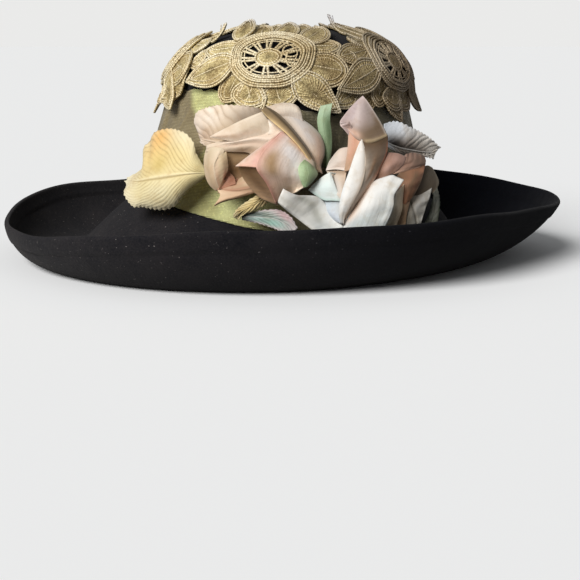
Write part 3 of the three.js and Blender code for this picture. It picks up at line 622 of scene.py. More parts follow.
# A lobe's least half width, a cord's height for its width, and a plate's thickness and its swell.
NARROWEST, CORD_FLAT, PLATE_THICK, PLATE_SWELL = 0.3, 0.85, 0.5, 0.3
gaps = np.where(np.arange(MOTIFS) == 1, FRONT_GAP, other_gap)
heights = ROSE_MIDDLE - RIGHT_DROP * (np.arange(MOTIFS) == 1)
centres = np.stack([FRONT_ROSE + np.cumsum(gaps) - gaps[0], heights], -1)
placed = np.tile(LOBES, MOTIFS)
placed["u"] += np.repeat(centres[:, 0], len(LOBES))
placed["v"] += np.repeat(centres[:, 1], len(LOBES))
# Three leaves are missing, as (rose, row of the table): two where black felt shows at the top
# left and top right, and one where the bright cloth shows at the lower left of the front rose.
MISSING = [(4, 16), (1, 12), (0, 11)]
placed = np.delete(placed, [rose * len(LOBES) + row for rose, row in MISSING])
LOOSE_TIPS["u"] += FRONT_ROSE
LOOSE_TIPS["v"] += ROSE_MIDDLE
placed = np.concatenate([placed, LOOSE_TIPS])


def lobes_at(grow, reach, side):
    """Places on every lobe of the lace, as (lobe, ..., 3) in flat lace: reach runs from
    0 at its root to 1 at its tip, side from -1 to 1 across it. The width is a sine
    along the lobe, blunter or sharper, and grow widens it all round by a margin."""
    column = {name: placed[name].reshape(-1, *[1] * np.ndim(reach)) for name in placed.dtype.names}
    power = 0.5 + 0.5 * (1 - column["blunt"])
    width = np.sin(math.pi * np.clip(reach, 0, 1) ** (0.75 + 0.45 * column["blunt"])) ** power
    along = reach * (column["long"] + 2 * grow) - grow
    across = side * width * np.maximum(column["wide"] / 2 + grow, NARROWEST)
    c, s = np.cos(column["towards"] * DEG), np.sin(column["towards"] * DEG)
    w = LACE_BASE + LAYER * column["over"] + column["lift"] * reach**2.5
    return np.stack([column["u"] + along * c - across * s, column["v"] + along * s + across * c, w], -1)


def eased(ring):
    """Closed lines with their corners rounded: each point
    moves half way to the middle of its neighbours."""
    return 0.5 * ring + 0.25 * (np.roll(ring, 1, 1) + np.roll(ring, -1, 1))


def tubes(lines, size, sides=5, closed=True):
    """Round cords along flat lines, given as (cord, point, 3), laid on the
    crown. Each ring stands across its cord: one axis of it points out of the
    crown. Gives points, faces, and the run along and round each cord."""
    path = on_crown(lines)
    ahead = np.roll(path, -1, 1) - np.roll(path, 1, 1) if closed else np.gradient(path, axis=1)
    ahead /= np.linalg.norm(ahead, axis=-1, keepdims=True)
    up = on_crown(lines + [0, 0, 1.0]) - path
    side = np.cross(ahead, up)
    side /= np.linalg.norm(side, axis=-1, keepdims=True)
    up = np.cross(side, ahead)
    t = np.linspace(0, 2 * math.pi, sides, endpoint=False)
    ring = side[:, :, None] * np.cos(t)[:, None] + up[:, :, None] * np.sin(t)[:, None] * CORD_FLAT
    points = path[:, :, None] + np.reshape(size, (-1, 1, 1, 1)) * ring
    cords, count = path.shape[:2]
    one = grid_faces(count, sides, ring_rows=closed, ring_columns=True)
    starts = np.arange(cords)[:, None, None] * count * sides
    faces = [(one[None] + starts).reshape(-1, 4)]
    if not closed:
        fan = np.stack([np.zeros(sides - 2, int), np.arange(1, sides - 1), np.arange(2, sides)], -1)
        ends = np.concatenate([fan[:, ::-1], fan + (count - 1) * sides])
        faces.append((ends[None] + starts).reshape(-1, 3))
    run = np.cumsum(np.linalg.norm(np.diff(path, axis=1, prepend=path[:, :1]), axis=-1), axis=1)
    cloth = np.stack(np.broadcast_arrays(run[:, :, None], t * 0.8, np.zeros(1)), -1)
    return points.reshape(-1, 3), faces, cloth.reshape(-1, 3)


def lace_piece(name, parts, nodes=()):
    """One piece of lace from several sets of points, faces and cloth
    places; faces with as many corners are kept in one array."""
    starts = np.cumsum([0] + [len(p[0]) for p in parts[:-1]])
    faces = {}
    for (_, groups, _), start in zip(parts, starts):
        for group in groups:
            faces.setdefault(group.shape[1], []).append(group + start)
    points, run = (np.concatenate([p[k] for p in parts]) for k in (0, 2))
    return add_piece(name, points, [np.concatenate(f) for f in faces.values()], "lace", nodes, cloth=run)


def ovals(half_wide, half_high, rise, points, aside=0, up=0):
    """Slightly uneven ovals about every rose's centre or a
    little off it, as (rose, point, 3) in flat lace."""
    t = np.linspace(0, 2 * math.pi, points, endpoint=False)
    motif = np.arange(MOTIFS)[:, None]
    wobble = 1 + 0.012 * np.sin(5 * t + motif) + 0.008 * np.sin(9 * t + 2 * motif)
    u = centres[:, :1] + aside + half_wide * np.cos(t) * wobble
    v = centres[:, 1:] + up + half_high * np.sin(t) * wobble
    return np.stack([u, v, np.full_like(u, LACE_BASE + rise)], -1)


OUTLINE_POINTS = 44
t = np.linspace(0, 2 * math.pi, OUTLINE_POINTS, endpoint=False)
reach, side = 0.5 - 0.5 * np.cos(t), np.sign(np.sin(t)) * np.ones_like(t)
side[[0, OUTLINE_POINTS // 2]] = 0
# Three cords follow each lobe's edge: how far each lies from it, its radius and its rise.
outlines = [
    tubes(eased(lobes_at(margin, reach, side) + [0, 0, rise]), size)
    for margin, size, rise in ((-0.4, 0.62, 0.45), (-1.9, 0.5, 0.4), (-4.2, 0.36, 0.3))
]
lace_outlines = lace_piece("lace_outline_cords", outlines)

middle = np.linspace(0.06, 0.88, 18)
inside = [tubes(lobes_at(0, middle, 0 * middle) + [0, 0, 0.35], 0.42, closed=False)]
# The rose's eye: its half width and height, and its pistil's, which stands a little off the middle.
EYE_WIDE, EYE_HIGH, PISTIL_WIDE, PISTIL_HIGH = 18.9, 12.6, 8.0, 5.6
PISTIL_ASIDE, PISTIL_UP = -0.8, -1.5
# Rings as half width, half height, cord radius, rise, and how far aside and up of the rose's centre.
RINGS = [
    (27.4, 21.0, 0.68, 3.3, 0.8, 2.9),
    (25.8, 19.5, 0.5, 3.2, 0.8, 2.6),
    (23.8, 17.4, 0.68, 3.6, 0.7, 1.9),
    (22.3, 16.0, 0.5, 3.4, 0.6, 1.5),
    (20.5, 14.2, 0.75, 3.7, 0.4, 0.8),
    (EYE_WIDE, EYE_HIGH, 0.5, 3.3, 0.2, 0.2),
    (16.6, 10.9, 0.42, 3.2, 0.1, 0),
    (PISTIL_WIDE, PISTIL_HIGH, 0.62, 3.1, PISTIL_ASIDE, PISTIL_UP),
    (6.2, 4.1, 0.45, 2.9, PISTIL_ASIDE, PISTIL_UP),
    (3.6, 2.2, 0.4, 2.8, PISTIL_ASIDE, PISTIL_UP),
]
for half_wide, half_high, size, rise, aside, up in RINGS:
    inside.append(tubes(ovals(half_wide, half_high, rise, 80, aside, up), size))
# Bars in pairs from the eye's edge to its pistil, and two hooked cords in its right half.
BAR_WIDE, BAR_HIGH, BAR_THICK = 7.6, 5.3, 0.85
spokes = np.array([20, 62, 98, 131, 163, 196, 232, 268, 302, 338.0])
out = np.linspace(0, 1, 8)
for shift in (-5.5, 5.5):
    a = (spokes + shift)[:, None] * DEG
    u = PISTIL_ASIDE * (1 - out) + (BAR_WIDE + (EYE_WIDE - BAR_WIDE) * out) * np.cos(a)
    v = PISTIL_UP * (1 - out) + (BAR_HIGH + (EYE_HIGH - BAR_HIGH) * out) * np.sin(a)
    spoke = centres[:, None, None] + np.stack([u, v], -1)[None]
    spoke = np.concatenate([spoke, np.full((*spoke.shape[:-1], 1), LACE_BASE + 2.9)], -1)
    inside.append(tubes(spoke.reshape(-1, len(out), 3), BAR_THICK, closed=False))
hook = np.linspace(-2.4, 2.2, 16)
flat_centres = np.concatenate([centres, np.full((MOTIFS, 1), LACE_BASE)], 1)
for mid_u, mid_v, wide, high in ((13.0, 2.6, 5.2, 4.4), (13.4, -2.4, 3.2, 5.0)):
    curve = np.stack([mid_u - wide * np.cos(hook), mid_v + high * np.sin(hook), 3.5 + 0 * hook], -1)
    inside.append(tubes(flat_centres[:, None] + curve, 0.6, closed=False))
lace_rings = lace_piece("lace_ring_cords", inside)


def plate(rim, middle, shells, open_middle=False):
    """Flat stitched plates between rims and their middles, both as flat
    lace, closed with a top and an underside. They are cut in shells from
    the rim inwards; a plate with an open middle stops at its last shell."""
    many, n = rim.shape[:2]
    m = len(shells)
    flat = middle[:, None, None] + (rim[:, :, None] - middle[:, None, None]) * shells[:, None]
    flat[..., 2] += PLATE_SWELL * np.sin(math.pi * shells)
    thick = np.array([0, 0, PLATE_THICK])
    grid = np.concatenate([(flat - thick)[:, :, ::-1], flat], 2)
    points = on_crown(grid).reshape(many, -1, 3)
    faces = [grid_faces(n, 2 * m, ring_rows=True, ring_columns=open_middle)]
    perimeter = np.linalg.norm(np.roll(rim, -1, 1) - rim, axis=-1).sum(1)[:, None, None]
    stitch = np.arange(n)[:, None] / n * perimeter + np.zeros(2 * m)
    depth = np.concatenate([shells[::-1], shells]) * np.ones((many, n, 1))
    cloth = np.stack([stitch, depth * 10, perimeter + 0 * depth], -1).reshape(many, -1, 3)
    if not open_middle:
        poles = on_crown(np.stack([middle - thick, middle], 1))
        points = np.concatenate([points, poles], 1)
        cloth = np.concatenate([cloth, cloth[:, :2]], 1)
        low = np.arange(n) * 2 * m
        high = low + 2 * m - 1
        under, over = (np.full(n, n * 2 * m + k) for k in (0, 1))
        underside = np.stack([low, np.roll(low, -1), under], -1)[:, ::-1]
        faces.append(np.concatenate([underside, np.stack([high, np.roll(high, -1), over], -1)]))
    starts = np.arange(many)[:, None, None] * points.shape[1]
    faces = [(f[None] + starts).reshape(-1, f.shape[1]) for f in faces]
    return points.reshape(-1, 3), faces, cloth.reshape(-1, 3)


SHELLS, OPEN_FROM = np.array([1.0, 0.82, 0.6, 0.38, 0.18]), 0.66
rims = eased(lobes_at(0, reach, side))
band_ring = ovals(27.6, 21.2, 2.8, 96, 0.8, 2.9)
pistil = ovals(PISTIL_WIDE, PISTIL_HIGH, 2.7, 48, PISTIL_ASIDE, PISTIL_UP)
ring_shells = np.array([1.0, 0.92, 0.8, OPEN_FROM])
grounds = [
    plate(rims, rims.mean(1), SHELLS),
    plate(band_ring, flat_centres + [-1, -4.6, 2.8], ring_shells, open_middle=True),
    plate(pistil, flat_centres + [PISTIL_ASIDE, PISTIL_UP, 3.1], SHELLS),
]
lace_ground = lace_piece("lace_ground", grounds, ["lace_trim"])


# Stitched gold thread: fine stripes over knots, with dull patches, and painted shade in the gaps
# between stitches and between knots. Painted shade darkens it towards +X, the side away from the
# light, and it is greyer and bluer on top.
PAINTED_SHADE_ASIDE, GREYER_TOP, PAINTED_GAP_SHADE = (0.33, 0.29, 0.29), (0.88, 1.0, 1.5), (0.36, 0.29, 0.2)
stitched_gold, given, made = effect(
    "stitched_gold",
    {"Place": (0, 0, 0), "Stitches": 0.2, "Dark": (0, 0, 0), "Pale": (1, 1, 1)},
    ("Color", "Height"),
)
tree = stitched_gold
spot = own_place(tree)
stripes = waves_along(tree, "X", given["Place"], given["Stitches"], 1.2, 1.0)
knots = node(tree, "TexVoronoi", Vector=spot, Scale=820.0).outputs["Distance"]
across, _, height = node(tree, "SeparateXYZ", Vector=spot).outputs
colours = {"First": given["Dark"], "Second": given["Pale"]}
base = use(tree, mottled, Place=spot, Scale=55.0, Low=0.36, High=0.62, **colours)["Color"]
# Painted shade towards +X, the side away from the light.
base = mixed(tree, remap(tree, across, -0.02, 0.08), base, tinted(tree, base, PAINTED_SHADE_ASIDE))
base = mixed(tree, remap(tree, height, 0.147, 0.154), base, tinted(tree, base, GREYER_TOP))
# Painted shade in the gaps between stitches and between knots.
thin = tinted(tree, base, PAINTED_GAP_SHADE)
base = mixed(tree, remap(tree, stripes, 0.05, 0.55, 0.38, 0.0), base, thin)
base = mixed(tree, remap(tree, knots, 0.42, 0.75, 0.0, 0.65), base, thin)
lumps = remap(tree, knots, 0.1, 0.8, 1.0, 0.0)
tree.links.new(base, made["Color"])
tree.links.new(product(tree, stripes, lumps, "ADD"), made["Height"])


def gold_thread(name, roughness, strength, **inputs):
    """A material of stitched gold thread."""
    material, tree, shader = new_material(name, roughness, Metallic=0.15)
    thread = use(tree, stitched_gold, Place=attribute(tree, "cloth"), **inputs)
    dress(tree, shader, thread["Color"], bump(tree, thread["Height"], strength, 0.0005))
    return material


CORD_DARK, CORD_PALE = (0.82, 0.68, 0.4), (1.0, 0.92, 0.68)
# The ground's gold is a darker copy of the cords': painted shade under the raised cords.
GROUND_DARK, GROUND_PALE = (0.47, 0.35, 0.15), (0.88, 0.75, 0.39)
cord_look = gold_thread("gold_lace_cord", 0.5, 0.5, Stitches=0.2, Dark=CORD_DARK, Pale=CORD_PALE)
ground_look = gold_thread("gold_lace_ground", 0.6, 0.8, Stitches=0.15, Dark=GROUND_DARK, Pale=GROUND_PALE)
for piece, look in ((lace_outlines, cord_look), (lace_rings, cord_look), (lace_ground, ground_look)):
    piece.data.materials.append(look)


# The silk roses. Each petal is cut from stiffened silk, dished and curled in the hand, tinted at
# its edges, and fixed by a narrow claw to the heart of the flower, which is stitched to the band.

# Petals and leaves are outlined as the camera sees them: across and down in the picture, and
# y, the depth in millimetres, which is smaller nearer the camera. These are the camera's
# place, how far it turns and dips, and its focal length and the picture's width in pixels.
EYE = np.array([0.0, -900.0, 139.0])
EYE_TURN, EYE_PITCH, EYE_FOCAL, PICTURE = 0.294, 10.3, 1364, 580


def seen(points):
    """Points in millimetres from rows of across, down and y: the ray through that
    spot of the picture, followed from the camera until it reaches that depth."""
    points = np.asarray(points, float)
    turn, pitch = EYE_TURN * DEG, EYE_PITCH * DEG
    level = math.cos(pitch)
    ahead = np.array([math.sin(turn) * level, math.cos(turn) * level, -math.sin(pitch)])
    right = np.array([math.cos(turn), -math.sin(turn), 0])
    up = np.cross(right, ahead)
    across, down = (points[..., k, None] - PICTURE / 2 for k in (0, 1))
    ray = ahead + right * across / EYE_FOCAL - up * down / EYE_FOCAL
    return EYE + ray * (points[..., 2:3] - EYE[1]) / ray[..., 1:2]


def wire(points, t):
    """A smooth line through a few points, evenly spaced: a
    Catmull-Rom curve, read by the length along it."""
    points = np.asarray(points, float)
    ends = np.concatenate([[2 * points[0] - points[1]], points, [2 * points[-1] - points[-2]]])
    s = np.linspace(0, 1, 17)[:-1, None, None]
    curve = catmull_rom([ends[k : k + len(points) - 1][None] for k in range(4)], s)
    curve = np.concatenate([np.moveaxis(curve, 0, 1).reshape(-1, 3), points[-1:]])
    run = np.concatenate([[0], np.cumsum(np.linalg.norm(np.diff(curve, axis=0), axis=1))])
    return np.stack([np.interp(t * run[-1], run, curve[:, k]) for k in range(3)], -1)


def square(steps, low=0):
    """The two coordinates of an even square grid, each from low to 1."""
    return np.meshgrid(*[np.linspace(low, 1, steps)] * 2, indexing="ij")


def between(corners, u, v):
    """Values at four corners, counter-clockwise from the lower left, mixed by u and v from 0 to 1."""
    a, b, c, d = corners
    u, v = u[..., None], v[..., None]
    return (1 - v) * ((1 - u) * a + u * b) + v * ((1 - u) * d + u * c)


def stretched(sides, u, v):
    """A surface stretched over four wired edges (a Coons patch): the two ruled surfaces between
    facing edges are added and the one between the four corners is taken away. Each side starts
    at its corner, counter-clockwise from the lower left: foot, right, tip, left."""
    foot, right, tip, left = (seen(side) for side in sides)
    bottom = wire(np.concatenate([foot, right[:1]]), u[:, 0])[:, None]
    outer = wire(np.concatenate([right, tip[:1]]), v[0])[None]
    top = wire(np.concatenate([tip, left[:1]])[::-1], u[:, 0])[:, None]
    inner = wire(np.concatenate([left, foot[:1]])[::-1], v[0])[None]
    corners = between((foot[0], right[0], tip[0], left[0]), u, v)
    u, v = u[..., None], v[..., None]
    return (1 - v) * bottom + v * top + (1 - u) * inner + u * outer - corners


def raised_to_eye(point, lift):
    """A grid of points moved towards the camera, each by its own lift."""
    forward = EYE - point.mean((0, 1))
    return point + forward / np.linalg.norm(forward) * lift[..., None]


def shell_faces(rows, columns):
    """Faces of a thin closed sheet: a front grid, the same
    grid turned over behind it, and a rim between them."""
    front = grid_faces(rows, columns)
    index = np.arange(rows * columns).reshape(rows, columns)
    rim = np.concatenate([index[:, 0], index[-1, 1:], index[-2::-1, -1], index[0, -2:0:-1]])
    after = np.roll(rim, -1)
    size = rows * columns
    edge = np.stack([rim, rim + size, after + size, after], -1)
    return np.concatenate([front, front[:, ::-1] + size, edge])


def both_sides(point, thick):
    """The front and back of a sheet: its points moved half
    its thickness along and against its normals."""
    du, dv = np.gradient(point, axis=0), np.gradient(point, axis=1)
    normal = np.cross(du, dv)
    normal /= np.linalg.norm(normal, axis=-1, keepdims=True) + 1e-9
    return np.concatenate([(point + way * normal * thick / 2).reshape(-1, 3) for way in (1, -1)])


def twice(values):
    """What a sheet's front says of its points, said of its back as well."""
    return np.tile(values.reshape(-1, 3), (2, 1))


def tone(r, g, b):
    """A linear colour from the 0 to 255 values of a screen."""
    c = np.array([r, g, b]) / 255
    return np.where(c <= 0.04045, c / 12.92, ((c + 0.055) / 1.055) ** 2.4)


# A petal's steps and thickness, where a curl starts, how deep its crumples are, and the millimetres of
# cloth across and along it.
PETAL_STEPS, PETAL_THICK, CURL_FROM, CRUMPLE, PETAL_CLOTH = 38, 0.5, 0.8, 0.12, (30, 36)
# The steps of a claw, the share of the way to the heart that it runs, and how much of its width it loses.
CLAW_STEPS, CLAW_REACH, CLAW_NARROWS = 8, 0.97, 0.85
# Quarter turns that bring a petal's root edge to its foot.
TURNS = {"foot": 0, "left": 1, "tip": 2, "right": 3}


def petal(shape, heart, seed):
    """One petal: the stretched surface, dished by its dome, with its marks. A mark is a soft line
    from one place of the petal to another, so wide, raised by so many millimetres and tinted: some
    marks give the silk's own colour, others painted light and shade. The claw runs from the petal's
    root edge to the flower's heart, narrows as it goes and darkens towards the heart with painted shade."""
    u, v = square(PETAL_STEPS)
    point = stretched(shape["sides"], u, v)
    shade = between([tone(*c) for c in shape["tones"]], u, v)
    lift = shape.get("dome", 1.0) * 16 * u * (1 - u) * v * (1 - v)
    for u0, v0, u1, v1, wide, rise, colour, strength in shape.get("marks", ()):
        along = np.array([u1 - u0, v1 - v0])
        t = np.clip(((u - u0) * along[0] + (v - v0) * along[1]) / max(along @ along, 1e-9), 0, 1)
        near = hump(np.hypot(u - u0 - t * along[0], v - v0 - t * along[1]), 0, wide)
        lift = lift + rise * near
        shade = dyed(shade, tone(*colour), strength * near)
    edge = {"left": 1 - u, "right": u, "foot": 1 - v, "tip": v}
    for side, amount in shape.get("curl", {}).items():
        lift = lift - amount * np.clip((edge[side] - CURL_FROM) / (1 - CURL_FROM), 0, 1) ** 2
    for side, amount in shape.get("ruffle", {}).items():
        run = v if side in ("left", "right") else u
        lift = lift + amount * edge[side] ** 3 * np.sin(run * 17 + seed) * np.sin(run * 7 + 2 * seed)
    lift = lift + CRUMPLE * (np.sin(9 * u + 4 * v + seed) + np.sin(5 * u - 11 * v + 2 * seed))
    point = raised_to_eye(point, lift)
    point, shade = (np.rot90(x, TURNS[shape.get("root", "foot")]) for x in (point, shade))
    s = np.linspace(1, 0, CLAW_STEPS + 1)[:-1][None, :, None]
    start = point[:, :1]
    ahead = start - point[:, 3:4]
    claw = start + ahead * 0.8 * s + (heart - start) * s**1.5 * CLAW_REACH
    claw = claw + (start.mean(0, keepdims=True) - start) * CLAW_NARROWS * s**1.2
    point = np.concatenate([claw, point], 1)
    # Painted shade: the claw darkens as it goes in under the petals towards the heart.
    shade = np.concatenate([shade[:, :1] * (1 - 0.5 * s), shade], 1)
    rows, columns = point.shape[:2]
    ends = zip(PETAL_CLOTH, (rows, columns))
    run = np.meshgrid(*[np.linspace(0, end, steps) for end, steps in ends], indexing="ij")
    run = np.stack([*run, np.full((rows, columns), seed)], -1)
    return both_sides(point, PETAL_THICK), shell_faces(rows, columns), twice(shade), twice(run)


# The heart's half width, how far its front and back bulge, how far its middle lies behind the place where
# the claws meet, and half the thickness of its rim.
HEART_REACH, HEART_DEEP, HEART_BEHIND, HEART_RIM = 15, 5.5, 3.5, 0.3
HEART_STEPS, HEART_TONE = 24, (120, 108, 82)


def flower_heart(middle):
    """The padded knot that every petal's claw is stitched to: a lens, domed before and behind."""
    u, v = square(HEART_STEPS, -1)
    across, up = u * np.sqrt(1 - v**2 / 2), v * np.sqrt(1 - u**2 / 2)
    deep = HEART_DEEP * (1 - across**2 - up**2).clip(0, 1) ** 0.6 + HEART_RIM
    halves = [
        np.stack([HEART_REACH * across, way * deep + HEART_BEHIND, HEART_REACH * up], -1) + middle
        for way in (-1, 1)
    ]
    shade = np.tile(tone(*HEART_TONE), (2 * u.size, 1))
    run = twice(np.stack([u * HEART_REACH, v * HEART_REACH, 0 * u], -1))
    return np.stack(halves).reshape(-1, 3), shell_faces(HEART_STEPS, HEART_STEPS), shade, run


def flower(name, petals, heart, slot, node_name):
    """All the petals of one flower and its heart, joined as one piece."""
    made = [petal(shape, seen(heart), 1.7 * k + 0.3) for k, shape in enumerate(petals)]
    made.append(flower_heart(seen(heart)))
    starts = np.cumsum([0] + [len(m[0]) for m in made[:-1]])
    points, shade, run = (np.concatenate([m[k] for m in made]) for k in (0, 2, 3))
    faces = np.concatenate([m[1] + start for m, start in zip(made, starts)])
    return add_piece(name, points, faces, slot, [node_name], tone=shade, cloth=run)


